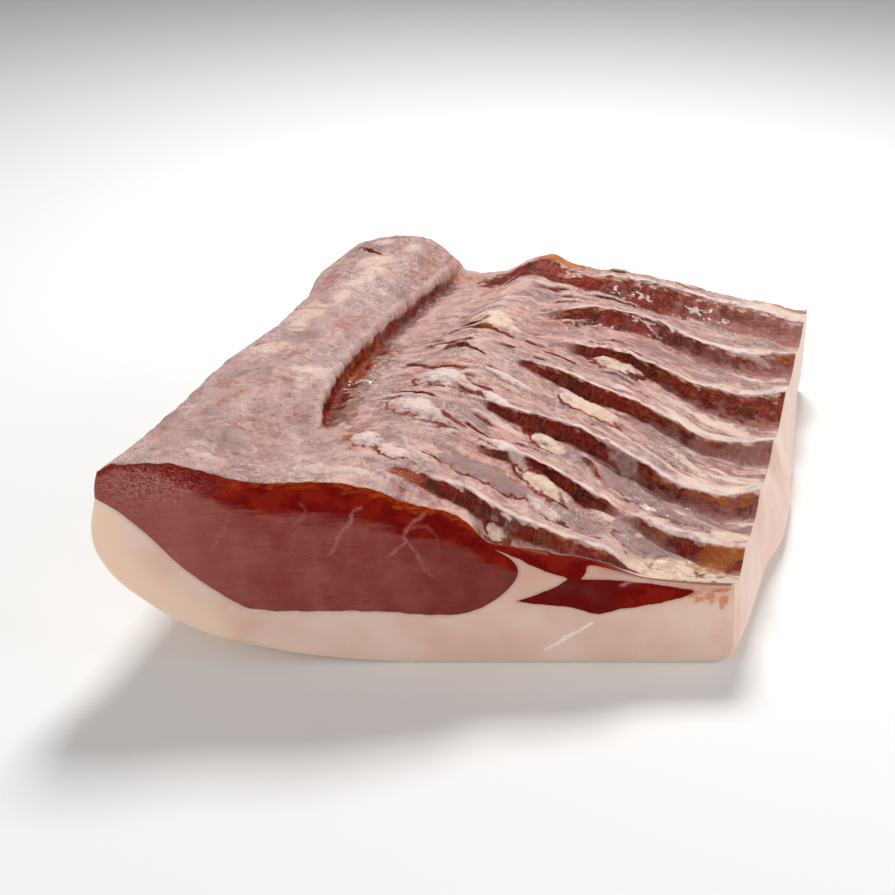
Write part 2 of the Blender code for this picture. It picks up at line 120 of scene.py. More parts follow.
# The ridges of meat left between the rib beds, from the front cut to the back: the crest's line as
# (s, t), how far the rib bed in front lies below it, how far forward its dark flank reaches, and
# where the crest itself sinks, each as (s, mm), and how dark and rusty the flank is, as (s, share)
# A flank's darkness stands partly for its own moist dark meat and partly for painted shade under its crest.
RIDGES = (
    dict(crest=((-20, 11), (-5, 9), (8, 7), (18, 4.5), (27, 2.6), (48, 1.2)),
         depth=((-22, 0), (-2, 3), (12, 4.6), (34, 4.6), (44, 4.6), (52, 5.6)),
         run=((-20, 3), (8, 3), (18, 2.4), (27, 1.6), (48, 0.8)),
         sink=((40, 0), (52, 5.6)),
         shade=((-20, 0), (-17, 0.8), (-6, 1), (30, 1), (46, 1), (51, 0.6), (54, 0)),
         rust=((-18, 1), (-8, 0.75), (5, 0.45), (20, 0.5), (30, 0.85), (48, 1))),
    dict(crest=((-15, 31), (3, 29), (11, 32), (26, 26), (46, 18.5), (60, 12), (78, 9)),
         depth=((-16, 0), (0, 1.6), (16, 3.2), (32, 4.2), (42, 3), (55, 5), (78, 6)),
         run=((-16, 2), (32, 2.5), (46, 3), (60, 4), (78, 7)),
         sink=((34, 0), (41, 1.2), (48, 0)),
         shade=((-6, 0), (0, 0.7), (8, 0.6), (16, 1), (30, 1), (36, 0.8), (39, 0), (45, 0), (48, 0.8),
                (54, 0.5), (60, 1)),
         rust=((0, 0.7), (12, 0.4), (30, 0.3), (46, 1), (52, 0.9), (62, 0.3), (70, 1))),
    dict(crest=((-12, 54), (5, 52), (16, 54), (28, 50), (44, 43), (57, 36), (66, 34), (78, 38)),
         depth=((-14, 0), (-5, 2.8), (12, 5), (50, 6), (60, 4.8), (78, 7)),
         run=((-14, 2), (50, 3), (78, 6)),
         sink=((0, 0),),
         shade=((-9, 0), (-6, 0.9), (15, 1), (30, 0.8), (40, 0.75), (78, 0.6)),
         rust=((-6, 0.3), (20, 0.45), (36, 0.6), (50, 0.9))),
    dict(crest=((-14, 83), (10, 81), (30, 76), (44, 72), (58, 64), (68, 64), (78, 68)),
         depth=((-15, 0), (6, 3.8), (20, 5), (60, 5), (78, 6.5)),
         run=((-14, 2), (58, 3), (78, 7)),
         sink=((0, 0),),
         shade=((-9, 0), (-5, 0.8), (5, 1), (35, 0.9), (48, 0.65), (60, 0.4)),
         rust=((0, 0.4), (20, 0.45), (40, 0.8), (55, 0.6), (78, 0.3))),
    dict(crest=((-8, 98), (8, 101), (20, 103), (38, 99), (52, 95), (64, 94), (78, 99)),
         depth=((-9, 0), (6, 2.4), (31, 4.4), (46, 6.2), (64, 7.6), (78, 8)),
         run=((-8, 2), (40, 3), (55, 5), (68, 9), (78, 13)),
         sink=((0, 0),),
         shade=((2, 0), (8, 0.8), (25, 1), (45, 0.9), (60, 0.8), (78, 1)),
         rust=((10, 0.2), (30, 0.5), (45, 0.9), (60, 0.6))),
    dict(crest=((-14, 115), (-4, 125), (8, 132), (24, 132), (45, 125), (60, 123), (78, 128)),
         depth=((-15, 0), (0, 3.4), (24, 4.8), (78, 6)),
         run=((-14, 3), (10, 6), (45, 5), (78, 8)),
         sink=((0, 0),),
         shade=((-14, 0), (-8, 0.4), (0, 0.8), (15, 1), (32, 0.8), (45, 0.6)),
         rust=((-12, 1), (0, 0.8), (15, 0.3), (40, 0.3), (52, 0.8), (78, 0.9))),
    dict(crest=((-14, 150), (0, 158), (14, 160), (60, 158), (78, 154)),
         depth=((-13, 0), (5, 3.6), (28, 5.6), (78, 6)),
         run=((-14, 6), (14, 12), (78, 10)),
         sink=((0, 0),),
         shade=((-36, 0), (-32, 0.8), (-22, 1), (-8, 1), (4, 0.7), (14, 0.8), (40, 0.6), (60, 0.45)),
         rust=((-32, 0.2), (-20, 0.3), (-10, 0.8), (4, 0.7), (12, 0.15), (78, 0.3))),
)
# The dark foot of the step, partly painted shade in its crevice: how dark, how rusty, how wide and how
# stained, as (t, value)
CREVICE_DARK = ((24, 0), (34, 0.7), (46, 0.9), (55, 1), (88, 1), (104, 0.75), (140, 0.8), (152, 0.3))
CREVICE_RUST = ((36, 0.3), (52, 0.25), (66, 0.6), (80, 0.9), (92, 0.8), (106, 0.4), (140, 0.3))
CREVICE_WIDTH = ((24, 1.0), (40, 2.0), (55, 3.6), (85, 3.2), (100, 2.0), (120, 1.3), (165, 1.1))
STAIN = ((30, 0), (38, 1), (70, 1), (92, 0.8), (104, 0))

# How beds and flanks ease, where crests are rounded off, which heights make a strong ridge, where
# the right part and the front edge's calm part begin and end, and how fibres bend by the step
SLOPE_EASE = 0.7
FLANK_EASE = 0.6
ROUND_OFF = (10, 45)
CREST_PASSES = 12
STRONG_RIDGE = (0.8, 3.6)
LIP_WIDTH = 1.15
RIGHT_PART = (22, 50)
CALM_PART = (28, 36)
CALM_RUN = 2.0
GRAIN_BEND = 6
GRAIN_BEND_RUN = 16

# Heights of the fine relief, and how far the lips, flanks and the step's wall shift, in millimetres
LUMP_RISE = 0.55
STREAK_RISE = 0.3
FIBRE_RISE = 0.12
SKIN_RISE = 0.2
WRINKLE_RISE = 0.26
WET_WAVES = 0.5
LIP_RISE = 0.25
LIP_RISE_RAGGED = 0.45
LIP_REACH = 0.75
LIP_REACH_RAGGED = 0.7
FLANK_HOLLOW = 0.9
FLANK_CRAGS = 0.45
FLANK_CRAG_DROP = 0.3
STEP_FOOT_DROP = 0.9
STEP_BROW_RISE = 0.2
STEP_CRAGS = 0.5
END_CALM = 2.5
RIM_ROUND = 0.35
UNEVEN_RIM = 0.3
UNEVEN_RIM_RUN = 0.9
SIDE_HOLLOW = 0.4
SIDE_GRAIN = 8

# Large primes that mix a noise cell's two numbers and the seed
HASH_A = 73856093
HASH_B = 19349663
HASH_SEED = 83492791
HASH_SPREAD = 1274126177

# Spacing of the meshes' points in millimetres, and numbers of points and passes
ROW_SPACING = 0.56
CUT_SPACING = 0.46
BACK_SPACING = 0.8
SIDE_SPACING = 1.6
HIDDEN_SPACING = 6.0
SEAM_SPACING = 1.5
LEAN_SPACINGS = (CUT_SPACING, BACK_SPACING)
FAT_SPACINGS = (BACK_SPACING, 1.2)
STRIP_COLUMNS = 6
RIB_COLUMNS = 180
EYE_FLOOR_COLUMNS = 64
EYE_STEP_COLUMNS = 20
EYE_HUMP_COLUMNS = 56
EYE_SIDE_COLUMNS = 14
CURVE_POINTS = 90
UNDER_POINTS = 130
SEAM_POINTS = 40
RIB_LEFT_POINTS = 50
RIB_RIGHT_POINTS = 80
RIB_END_POINTS = 8
LENS_POINTS = 150
LENS_LEFT_POINTS = 40
WALL_POINTS = 36
FOOT_POINTS = 10
FLOOR_POINTS = 60
SPLINE_STEPS = 12
CORNER_PASSES = 6
TOP_SPAN = (-90, 77)
SPAN_SAMPLES = 80
FRONT_CROWDING = 1.5
CUT_MARGIN = 0.55
FINE_BLUR = 8
FINE_HOLLOW = 0.35
BROAD_BLUR = 60
BROAD_HOLLOW = 1.3
WELDS_PER_MM = 2000
SHARP_ANGLE = 62

# Pads and flaps on top, as (s, t, half length, half width, turn in degrees, rise in mm)
CREAM_PADS = (
    (20, 101, 9, 5.5, -12, 1.5), (12.3, 3.4, 3.6, 3.0, -20, 1.7), (17, 25.5, 9.5, 4.0, -35, 1.4),
    (12, 47, 6.5, 3.4, -35, 1.0), (19, 71, 10, 4.6, -18, 1.4), (61, 81, 14, 4.2, -28, 0.6),
    (46, 75, 12, 2.6, -42, 0.6), (73, 19, 7, 4.0, -10, 0.6), (-23, 106, 11, 4.6, -35, 0.8),
    (-31, 88, 6.5, 1.6, -25, 0.4), (-75, 139, 5.5, 6, -30, 0.5), (-80, 158, 4, 4, 0, 0.4),
    (-77, 84, 3, 7, 20, 0.4), (-76, 94, 3.4, 8, -8, 0.4), (-73, 106, 2.8, 7, 12, 0.4),
    (-74, 117, 3.2, 8, -10, 0.4), (-72, 128, 3.6, 7, 8, 0.5), (-77, 67, 6, 3.5, 10, 0.4),
    (-60, 56, 6, 4, 30, 0.5), (70, 48, 9, 3.0, -18, 0.4), (35, 21, 7, 2.4, -35, 0.6),
    (30, 60, 6, 1.8, -30, 0.4), (54, 53, 11, 2.2, -45, 0.5), (50, 18, 1.8, 7, -30, 0.6),
    (-81, 94, 3.5, 9.0, -12, 0.2), (-76, 68, 5, 3, 0, 0.2), (-68, 153, 3, 6, 0, 0.2))
PALE_PADS = (
    (-30, 23, 6, 3.0, -28, 0.9), (-20, 17, 6, 2.6, -25, 0.9), (-24, 43, 11, 4.4, -30, 1.5),
    (-24, 62, 9.5, 4.6, -20, 1.5), (-6, 56, 5, 2.4, -28, 1.0), (5, 32, 7.5, 2.4, -22, 1.1),
    (36, 88, 9, 2.6, -20, 0.4), (-6, 70, 9, 2.4, -18, 0.8), (21, 13, 7, 2.4, -35, 0.9),
    (44, 88, 9, 2.2, -14, 0.5), (24, 82, 7, 1.8, -12, 0.5), (62, 122, 9, 1.8, -4, 0.4),
    (34, 47, 8, 1.8, -34, 0.6), (12, 76, 7, 1.8, -12, 0.5), (2, 46, 6, 1.8, -22, 0.6),
    (-34, 7, 12, 3.0, -6, 0.5), (-66, 6, 8, 1.6, -4, 0.3), (-45, 14, 5, 1.6, -10, 0.3),
    (45, 50, 14, 1.2, -38, 0.5), (-60, 52, 3, 8, 14, 0.3))
LILAC_PADS = (
    (57, 10.5, 19, 6.4, -18, 0.8), (42, 35, 17, 5.0, -33, 0.8), (4, 18.5, 14, 4.2, -8, 1.1),
    (30, 12.5, 10, 4.6, -28, 0.9), (51, 52, 10, 3.2, -20, 0.5), (28, 60, 9, 2.6, -14, 0.5),
    (33, 115, 14, 4.0, -12, 0.4), (52, 107, 9, 3, -14, 0.4), (10, 88, 9, 2.6, -8, 0.4),
    (-72, 76, 7, 5, 30, 0.4), (-66, 16, 9, 6, 0, 0.3), (-84, 30, 4, 14, 0, 0.2),
    (-60, 122, 4, 14, 2, 0.2), (-82, 152, 9, 7, -38, 0.6), (-28, 84, 7, 2.4, -25, 0.4),
    (-10, 44, 9, 2.2, -26, 0.5), (-12, 26, 8, 2.0, -20, 0.4), (24, 42, 9, 3.0, -30, 0.6),
    (46, 62, 12, 3.0, -26, 0.6), (36, 70, 9, 2.4, -20, 0.5), (22, 92, 10, 2.6, -14, 0.5),
    (60, 24, 11, 2.6, -22, 0.6), (62, 110, 11, 2.6, -6, 0.5), (8, 66, 8, 2.4, -16, 0.5),
    (-2, 108, 8, 2.2, -10, 0.4), (64, 141, 10, 2.8, -4, 0.5), (30, 143, 12, 2.6, 0, 0.4),
    (-14, 132, 9, 3.0, 20, 0.4))
RAW_PADS = (
    (-61, 25, 8.5, 5.0, 20, 1), (-66, 47, 7, 3.6, 40, 1), (-74, 17, 2.2, 1.2, 0, 1),
    (-83, 22, 1.8, 1.0, 30, 1), (-36, 30, 5, 2.0, -30, 1), (-65, 148, 5, 9, 10, 1),
    (-34, 68, 5, 3, -20, 1), (-30, 44, 4, 3, -30, 1), (-84, 124, 4, 12, 5, 1), (-36, 92, 8, 4, -30, 1),
    (-60, 138, 4, 12, 5, 1), (-76, 152, 8, 6, 0, 1), (-70, 62, 6, 3, 20, 1), (-78, 44, 5, 3, -30, 1),
    (-58, 12, 8, 2.5, 0, 0.8), (-64, 86, 3, 7, 5, 1), (60, 57, 10, 2.2, -15, 1),
    (66, 82, 10, 2.6, -10, 1), (-69, 6, 4, 2.4, 0, 1), (-24, 76, 8, 2.4, -24, 1))
# Pits and folds, sunk and filled with painted shade; the first is the back peak's dark face, partly its own
# dark red meat
SHADED_PITS = (
    (-27, 154, 17, 6.5, 3, -1.0), (-81, 149, 8, 1.0, -38, -0.9), (-26, 70.5, 9, 1.1, -14, -0.7),
    (-16, 57, 9, 1.1, -16, -0.9), (-12, 61, 4.6, 0.9, -10, -0.6), (-28, 52.5, 7.5, 0.9, -22, -0.8),
    (-11, 34, 6, 0.7, -25, -0.5), (3, 92, 7, 0.8, -6, -0.6), (-21, 97.5, 7.5, 1.0, -14, -0.8),
    (-36, 24, 2.0, 0.8, 40, -0.5), (-13, 40, 6, 0.9, -30, -0.6), (-8, 72, 8, 0.8, -15, -0.6),
    (26, 25, 6, 0.8, -38, -0.5), (-36, 75, 5, 0.8, -20, -0.5), (-22, 82, 5, 0.8, -20, -0.5),
    (-4, 38, 5, 0.8, -25, -0.5))
ORANGE_PADS = (
    (-74, 33, 1.2, 3.6, 8, 0.55), (-75.5, 28, 0.7, 3.0, 24, 0.55), (-71.5, 38, 0.7, 3.4, -10, 0.5),
    (-24, 71.5, 9, 0.9, -20, 0.5), (-4, 116, 8, 1.6, 30, 0.6), (-16, 163, 10, 3.5, 0, 1),
    (-15, 8.5, 6, 1.3, -8, 0.55), (-36, 25, 1.6, 1.6, 20, 1), (71, 8, 9, 4, 20, 0.6),
    (-52, 158, 12, 5, 0, 0.35), (-71, 152, 1.4, 7, 10, 0.3), (-60, 153, 2.5, 8, 20, 0.3),
    (-83, 96, 3, 8, -10, 0.3), (-20, 98, 6, 1.0, -14, 0.5))
# Wet patches: glossy, with painted glints laid into them
WET_SPOTS = (
    (6, 122, 9, 3.6, 30, 1), (25, 129, 9, 3.6, 0, 1), (12, 151, 9, 4.0, 0, 1), (40, 150, 12, 4.4, 0, 1),
    (12.3, 3.4, 3.4, 2.8, -20, 1), (-50, 64, 3.0, 4.0, 0, 1), (45, 28, 10, 2.5, -33, 1))
PAD_EDGE = 0.42
PAD_ON_FLANK = 0.3
PAD_RAGGED = 0.30
PAD_BEND = 2.2
PAD_SHADOW_AT = 1.12
PAD_SHADOW_WIDTH = 0.16
LAYERS_APART = 7.3
FLAP_SPACING = 6.5
FLAP_RISE = 1.1

# The front cut of the eye muscle: how far down its dried rim reaches, as (s, mm), and its veins,
# as lists of (s, z)
RIM_REACH = ((-90, 2.0), (-80, 3.0), (-72, 6.0), (-62, 11.0), (-45, 12.5), (-20, 14.0), (0, 13.0),
             (9, 10.0))
RIM_ORANGE = ((-84, 0.5), (-74, 0.25), (-64, 0.3), (-54, 0.7), (-46, 1.0), (-38, 0.9), (-31, 0.5), (-22, 1.0),
              (-10, 1.0), (4, 0.8), (9, 0.5))
VEINS = (((-22.5, 51.0), (-24.6, 49.2), (-25.2, 46.4), (-27.1, 44.2), (-28.5, 42.0), (-29.2, 39.2),
          (-31.2, 35.7)),
         ((-5.8, 49.8), (-7.6, 47.3), (-10.2, 44.8), (-11.3, 42.6), (-11.1, 40.4), (-13.5, 37.9),
          (-15.7, 35.7)),
         ((-11.1, 40.4), (-9.6, 38.9), (-8.0, 36.0), (-6.2, 31.2), (-4.1, 29.2)),
         ((-11.3, 42.6), (-9.2, 44.8), (-6.6, 45.1), (-4.5, 44.2), (-2.5, 39.5)),
         ((-56.5, 49.8), (-57.3, 46.7), (-58.6, 43.6), (-61.1, 39.5), (-61.5, 37.3)),
         ((-37.8, 51.9), (-36.7, 49.5), (-38.1, 47.3), (-40.8, 44.8)),
         ((-73.2, 38.5), (-71.6, 36.0), (-71.1, 34.1)))
VEIN_STRENGTH = (1.0, 1.0, 0.7, 0.4, 0.4, 0.4, 0.35)
VEIN_WIDTH = 0.42
PRESS_LINE = ((-83.4, 46.7), (-74.6, 44.5), (-64.5, 42.0), (-51.6, 39.5), (-38.7, 36.9), (-25.7, 34.4),
              (-12.6, 32.4), (0.7, 30.2), (14.0, 27.6))
PRESS_WIDTH = 0.42
KNIFE_ZONE = ((-77.0, 58.0), (13.0, 6.0))
# Streaks of painted glint on the fat's front cut, as lists of (s, z)
FAT_GLINTS = (((39.5, 13.6), (37.0, 12.2)), ((36.6, 11.2), (32.0, 9.0)), ((33.8, 9.2), (29.4, 6.2)),
              ((30.4, 6.9), (26.9, 4.4)))
FAT_STREAK = ((-72.0, 29.0), (-66.3, 23.6), (-56.0, 17.6), (-39.9, 16.2), (-26.4, 16.2), (-12.9, 15.9),
              (0.7, 14.9), (11.5, 18.4), (17.6, 23.0))
# Line of the painted shine along the lens's upper edge, as (s, z)
LENS_PAINTED_SHINE = ((54.0, 29.6), (50.0, 28.2), (46.5, 26.4))
RUST_SPOTS = ((65.0, 23.8, 3.4, 1.2), (67.5, 21.8, 1.6, 1.4), (70.8, 22.0, 1.6, 2.0), (74.2, 21.6, 1.4, 2.8),
              (72.0, 25.0, 4.0, 0.9))
MEMBRANE = ((12.6, 40.9), (19.0, 38.9), (26.1, 36.6))
BORDER_WANDER = 0.32

# Patches of colour on the cuts, as a middle and half sizes, the flushes with a share first
LENS_PALE = ((33, 24.5), (6, 3))
RUST_HALO = ((69, 23.5), (8, 4))
FAT_FLUSHES = ((1.0, (44, 31), (9, 3)), (0.6, (66, 25), (12, 3)), (0.4, (22, 31), (9, 8)))
PEACH_EDGE = ((-93, 52), (-93, 36), (-85, 25), (-67, 11))

# How far each muscle sinks at a cut and over what run, then its waves' height, run, two lengths
# and seed
LEAN_SINK = (0.35, 6, 0.12, 3, 9, 6, 561)
RIB_SINK = (0.5, 3, 0.2, 2, 5, 4, 617)
LENS_SINK = (0.5, 3, 0.3, 2, 4, 2.5, 627)
FAT_SINK = 0.15
GLINT_RISE = 0.14

# Camera and lights, with places and sizes in metres, the lens in millimetres and power in watts
CAMERA_PLACE = (-0.0230, -0.3467, 0.2215)
CAMERA_TILT = 60.0
CAMERA_LENS = 49.19
SENSOR = 36.0
MIDDLE = (0.0, 0.0, 0.03)
LIGHTS = (
    ("key_light", (0.05, 0.38, 0.70), MIDDLE, 0.22, 5.0),
    ("front_light", (0.25, -0.9, 0.5), MIDDLE, 0.6, 2.1),
    ("right_light", (0.85, -0.15, 0.4), MIDDLE, 0.5, 2.2),
    ("left_light", (-0.75, -0.45, 0.3), (-0.05, -0.05, 0.03), 0.45, 1.35))
SURROUND_STRENGTH = 0.24
FLOOR_HALF = 3.0
FLOOR_WHITE = (0.92, 0.92, 0.91)

# How far the streaks on top are turned, in degrees
RIDGE_TURN = 14.0

# Colours, as linear red, green and blue
BLOOM_PINK = (0.61, 0.355, 0.315)
BLOOM_GREY = (0.52, 0.345, 0.335)
BED_PEACH = (0.74, 0.43, 0.33)
BED_OLIVE = (0.36, 0.25, 0.17)
# Painted shade laid over the whole left muscle
LEFT_MUSCLE_SHADE = (0.30, 0.19, 0.17)
STAIN_BROWN = (0.27, 0.125, 0.05)
BLOOM_PALE = (0.84, 0.60, 0.53)
MEAT_PINK = (0.42, 0.155, 0.125)
MEAT_MAUVE = (0.20, 0.09, 0.08)
LILAC = (0.30, 0.19, 0.185)
CREAM = (0.84, 0.64, 0.50)
PEACH = (0.84, 0.48, 0.33)
# Pale white of the crests, also used for painted highlights and glints
CREST_WHITE = (0.88, 0.71, 0.66)
PLUM = (0.14, 0.034, 0.026)
RED_BROWN = (0.38, 0.092, 0.042)
DEEP_RED = (0.23, 0.010, 0.004)
DARK_BROWN = (0.085, 0.011, 0.005)
ORANGE_BROWN = (0.48, 0.13, 0.020)
FLANK_MAUVE = (0.32, 0.13, 0.105)
ORANGE = (0.54, 0.19, 0.04)
LEAN_MID = (0.245, 0.043, 0.035)
LEAN_PALE = (0.40, 0.13, 0.11)
LEAN_DEEP = (0.17, 0.024, 0.018)
MOIST_MID = (0.12, 0.003, 0.003)
MOIST_DEEP = (0.17, 0.001, 0.001)
MOIST_PALE = (0.20, 0.035, 0.032)
RIM_RED = (0.21, 0.003, 0.002)
RIM_DARK = (0.11, 0.003, 0.002)
RIM_BRIGHT = (0.30, 0.014, 0.004)
RIM_RUST = (0.40, 0.042, 0.001)
RIM_GOLD = (0.55, 0.12, 0.006)
KNIFE_PINK = (0.62, 0.30, 0.27)
VEIN_PINK = (0.48, 0.19, 0.165)
FAT_PINK = (0.80, 0.53, 0.42)
FAT_CREAM = (0.97, 0.70, 0.53)
FAT_WHITE = (0.86, 0.64, 0.535)
FAT_FLUSH = (0.62, 0.22, 0.15)
RUST = (0.70, 0.24, 0.06)
RUST_DARK = (0.46, 0.10, 0.02)
# Colour of the painted glint on the fat
FAT_GLINT = (1.0, 0.92, 0.86)

# Roughness of the dry and the moist lean
LEAN_DULLNESS = 0.40
MOIST_DULLNESS = 0.28


def smooth_curve(points):
    """A function that runs smoothly through the points and is level beyond them."""
    x, y = np.array(points, float).T
    if len(x) == 1:
        return lambda value: np.full_like(np.asarray(value, float), y[0])
    h = np.diff(x)
    slope = np.diff(y) / h
    m = np.zeros(len(x))
    for i in range(1, len(x) - 1):
        if slope[i - 1] * slope[i] > 0:
            w1 = 2 * h[i] + h[i - 1]
            w2 = h[i] + 2 * h[i - 1]
            m[i] = (w1 + w2) / (w1 / slope[i - 1] + w2 / slope[i])

    def at(value):
        v = np.clip(np.asarray(value, float), x[0], x[-1])
        i = np.clip(np.searchsorted(x, v, side="right") - 1, 0, len(h) - 1)
        u = (v - x[i]) / h[i]
        rise = (1 + 2 * u) * (1 - u) ** 2 * y[i] + u ** 2 * (3 - 2 * u) * y[i + 1]
        return rise + h[i] * u * (1 - u) * ((1 - u) * m[i] - u * m[i + 1])
    return at


def ease(value, start, end):
    """0 before start, 1 after end, smooth between."""
    u = unit((np.asarray(value, float) - start) / (end - start))
    return u * u * (3 - 2 * u)


def unit(value):
    """The value kept between 0 and 1."""
    return np.clip(value, 0, 1)


def mix(a, b, u):
    return a + (b - a) * u


def stacked(*values):
    return np.stack(np.broadcast_arrays(*values), axis=-1)


def bump(distance, width):
    """1 at no distance, falling to 0 over about twice the width."""
    return np.exp(-(distance / width) ** 2)


def spline(points, count):
    """A smooth open curve through the points, as count points evenly spaced along it."""
    p = np.array(points, float)
    p = np.vstack([2 * p[0] - p[1], p, 2 * p[-1] - p[-2]])
    fine = []
    for i in range(1, len(p) - 2):
        for u in np.linspace(0, 1, SPLINE_STEPS, endpoint=False):
            a = -p[i - 1] + 3 * p[i] - 3 * p[i + 1] + p[i + 2]
            b = 2 * p[i - 1] - 5 * p[i] + 4 * p[i + 1] - p[i + 2]
            fine.append(p[i] + 0.5 * u * (p[i + 1] - p[i - 1] + u * (b + u * a)))
    return evenly(np.array(fine + [p[-2]]), count)


def lengths(line):
    """How far along a line of points each point lies."""
    return np.concatenate([[0], np.cumsum(np.linalg.norm(np.diff(line, axis=0), axis=1))])


def evenly(line, count):
    """Count points evenly spaced along a line of points."""
    along = lengths(line)
    want = np.linspace(0, along[-1], count)
    return np.column_stack([np.interp(want, along, line[:, k]) for k in range(line.shape[1])])


def noise(a, b, seed):
    """Smooth gradient noise over a plane, from about -1 to 1."""
    a, b = np.broadcast_arrays(np.asarray(a, float), np.asarray(b, float))
    i = np.floor(a).astype(np.int64)
    j = np.floor(b).astype(np.int64)
    fa, fb = a - i, b - j

    def corner(di, dj):
        h = ((i + di) * HASH_A) ^ ((j + dj) * HASH_B) ^ (seed * HASH_SEED)
        h = ((h & 0x7FFFFFFF) ^ ((h >> 13) & 0x3FFFF)) * HASH_SPREAD
        turn = ((h >> 11) & 0xFFFF) / 65536 * 2 * np.pi
        return np.cos(turn) * (fa - di) + np.sin(turn) * (fb - dj)
    wa = fa ** 3 * (fa * (6 * fa - 15) + 10)
    wb = fb ** 3 * (fb * (6 * fb - 15) + 10)
    return 1.5 * mix(mix(corner(0, 0), corner(1, 0), wa), mix(corner(0, 1), corner(1, 1), wa), wb)


def rough(a, b, seed, octaves=3):
    """Noise with finer noise on it, each octave twice as fine and half as high."""
    return sum(noise(a * 2 ** k, b * 2 ** k, seed + 17 * k) / 2 ** k for k in range(octaves))


front_edge = smooth_curve(FRONT_EDGE)
front_crest = smooth_curve(FRONT_CREST)
back_crest = smooth_curve(BACK_CREST)
step_line = smooth_curve(STEP_LINE)
step_strength = smooth_curve(STEP_STRENGTH)
left_edge = smooth_curve(LEFT_EDGE)
right_edge = smooth_curve(RIGHT_EDGE)
right_foot = smooth_curve(RIGHT_FOOT)
rim_reach = smooth_curve(RIM_REACH)
rim_orange = smooth_curve(RIM_ORANGE)
crevice_dark = smooth_curve(CREVICE_DARK)
crevice_rust = smooth_curve(CREVICE_RUST)
crevice_width = smooth_curve(CREVICE_WIDTH)
stain = smooth_curve(STAIN)
ridges = [{key: smooth_curve(points) for key, points in ridge.items()} for ridge in RIDGES]


def wall_line(t):
    """The step's line, ragged along its length."""
    return step_line(t) + STEP_RAGGED * rough(t / 7, 0, 3) * step_strength(t)


def step(s, t):
    """The step up to the left muscle: raised on its left, sunk on its right, fading both ways."""
    away = s - wall_line(t)
    fade = np.exp(-np.abs(away) / STEP_REACH)
    return -0.5 * STEP_HEIGHT * step_strength(t) * np.tanh(away / STEP_HALF_WIDTH) * fade


def crest_level(s, t):
    """Height that the ridges' crests reach, and of the smooth meat left of them."""
    return mix(front_crest(s), back_crest(s), t / LENGTH) + step(s, t)


def stations(s):
    """Depths t of the cut, of each rib bed's edge and ridge's crest in turn, and of the back, and
    each one's drop below crest level."""
    t_rows = [np.zeros_like(s)]
    drops = [front_crest(s) - front_edge(s)]
    for ridge in ridges:
        crest_t = ridge["crest"](s)
        t_rows += [np.maximum(crest_t - ridge["run"](s), 0), crest_t]
        drops += [ridge["depth"](s), ridge["sink"](s)]
    t_rows.append(np.full_like(s, LENGTH))
    drops.append(np.zeros_like(s))
    for j in range(1, len(t_rows)):
        t_rows[j] = np.maximum(t_rows[j], t_rows[j - 1] + ROW_STEP)
    t_rows[-1] = np.full_like(s, LENGTH)
    return np.array(t_rows), np.array(drops)


def fine_rows():
    """The fine grid's rows, each as the number of its stretch between stations and how far along."""
    t_rows, drops = stations(np.linspace(*TOP_SPAN, SPAN_SAMPLES))
    intervals, fractions = [0], [0.0]
    for j in range(len(t_rows) - 1):
        slant = np.hypot(np.diff(t_rows, axis=0)[j], np.diff(drops, axis=0)[j]).max()
        count = int(np.ceil(slant / ROW_SPACING))
        along = np.arange(1, count + 1) / count
        fractions += list(along ** FRONT_CROWDING if j == 0 else along)
        intervals += [j] * count
    return np.array(intervals)[:, None], np.array(fractions)[:, None]


INTERVAL, FRACTION = fine_rows()
ROWS = len(INTERVAL)
# The last stretch, and the ridges that a stretch lies on and in front of
LAST = 2 * len(RIDGES)
HERE = np.clip((INTERVAL - 1) // 2, 0, len(RIDGES) - 1)
AHEAD = np.clip(INTERVAL // 2, 0, len(RIDGES) - 1)


def pick(stack, index):
    """From a stack of arrays, the one that each place's index names."""
    return np.take_along_axis(stack, np.broadcast_to(index, stack.shape[1:])[None], axis=0)[0]


def row_depth(s):
    """Depth t of every fine row where it crosses s, as rows by columns."""
    s = np.broadcast_to(s, (ROWS, s.shape[-1]))
    t_all = stations(s)[0]
    return mix(pick(t_all, INTERVAL), pick(t_all, INTERVAL + 1), FRACTION)


T_LEFT, T_MIDDLE, T_RIGHT = (row_depth(np.full((ROWS, 1), s)) for s in (LEFT_S, MIDDLE_S, RIGHT_S))
SETTLED = ease(T_LEFT, 0, SETTLE_RUN)
PAST_SEAM = ease(T_MIDDLE, 0, SEAM_RUN)
PAST_CUT = ease(T_RIGHT, 0, RIB_SINK_RUN)
CORNER_LEFT = left_edge(T_LEFT)
CORNER_RIGHT = right_edge(T_RIGHT)
SEAM_S = mix(SEAM_CUT, SEAM_INNER, PAST_SEAM)


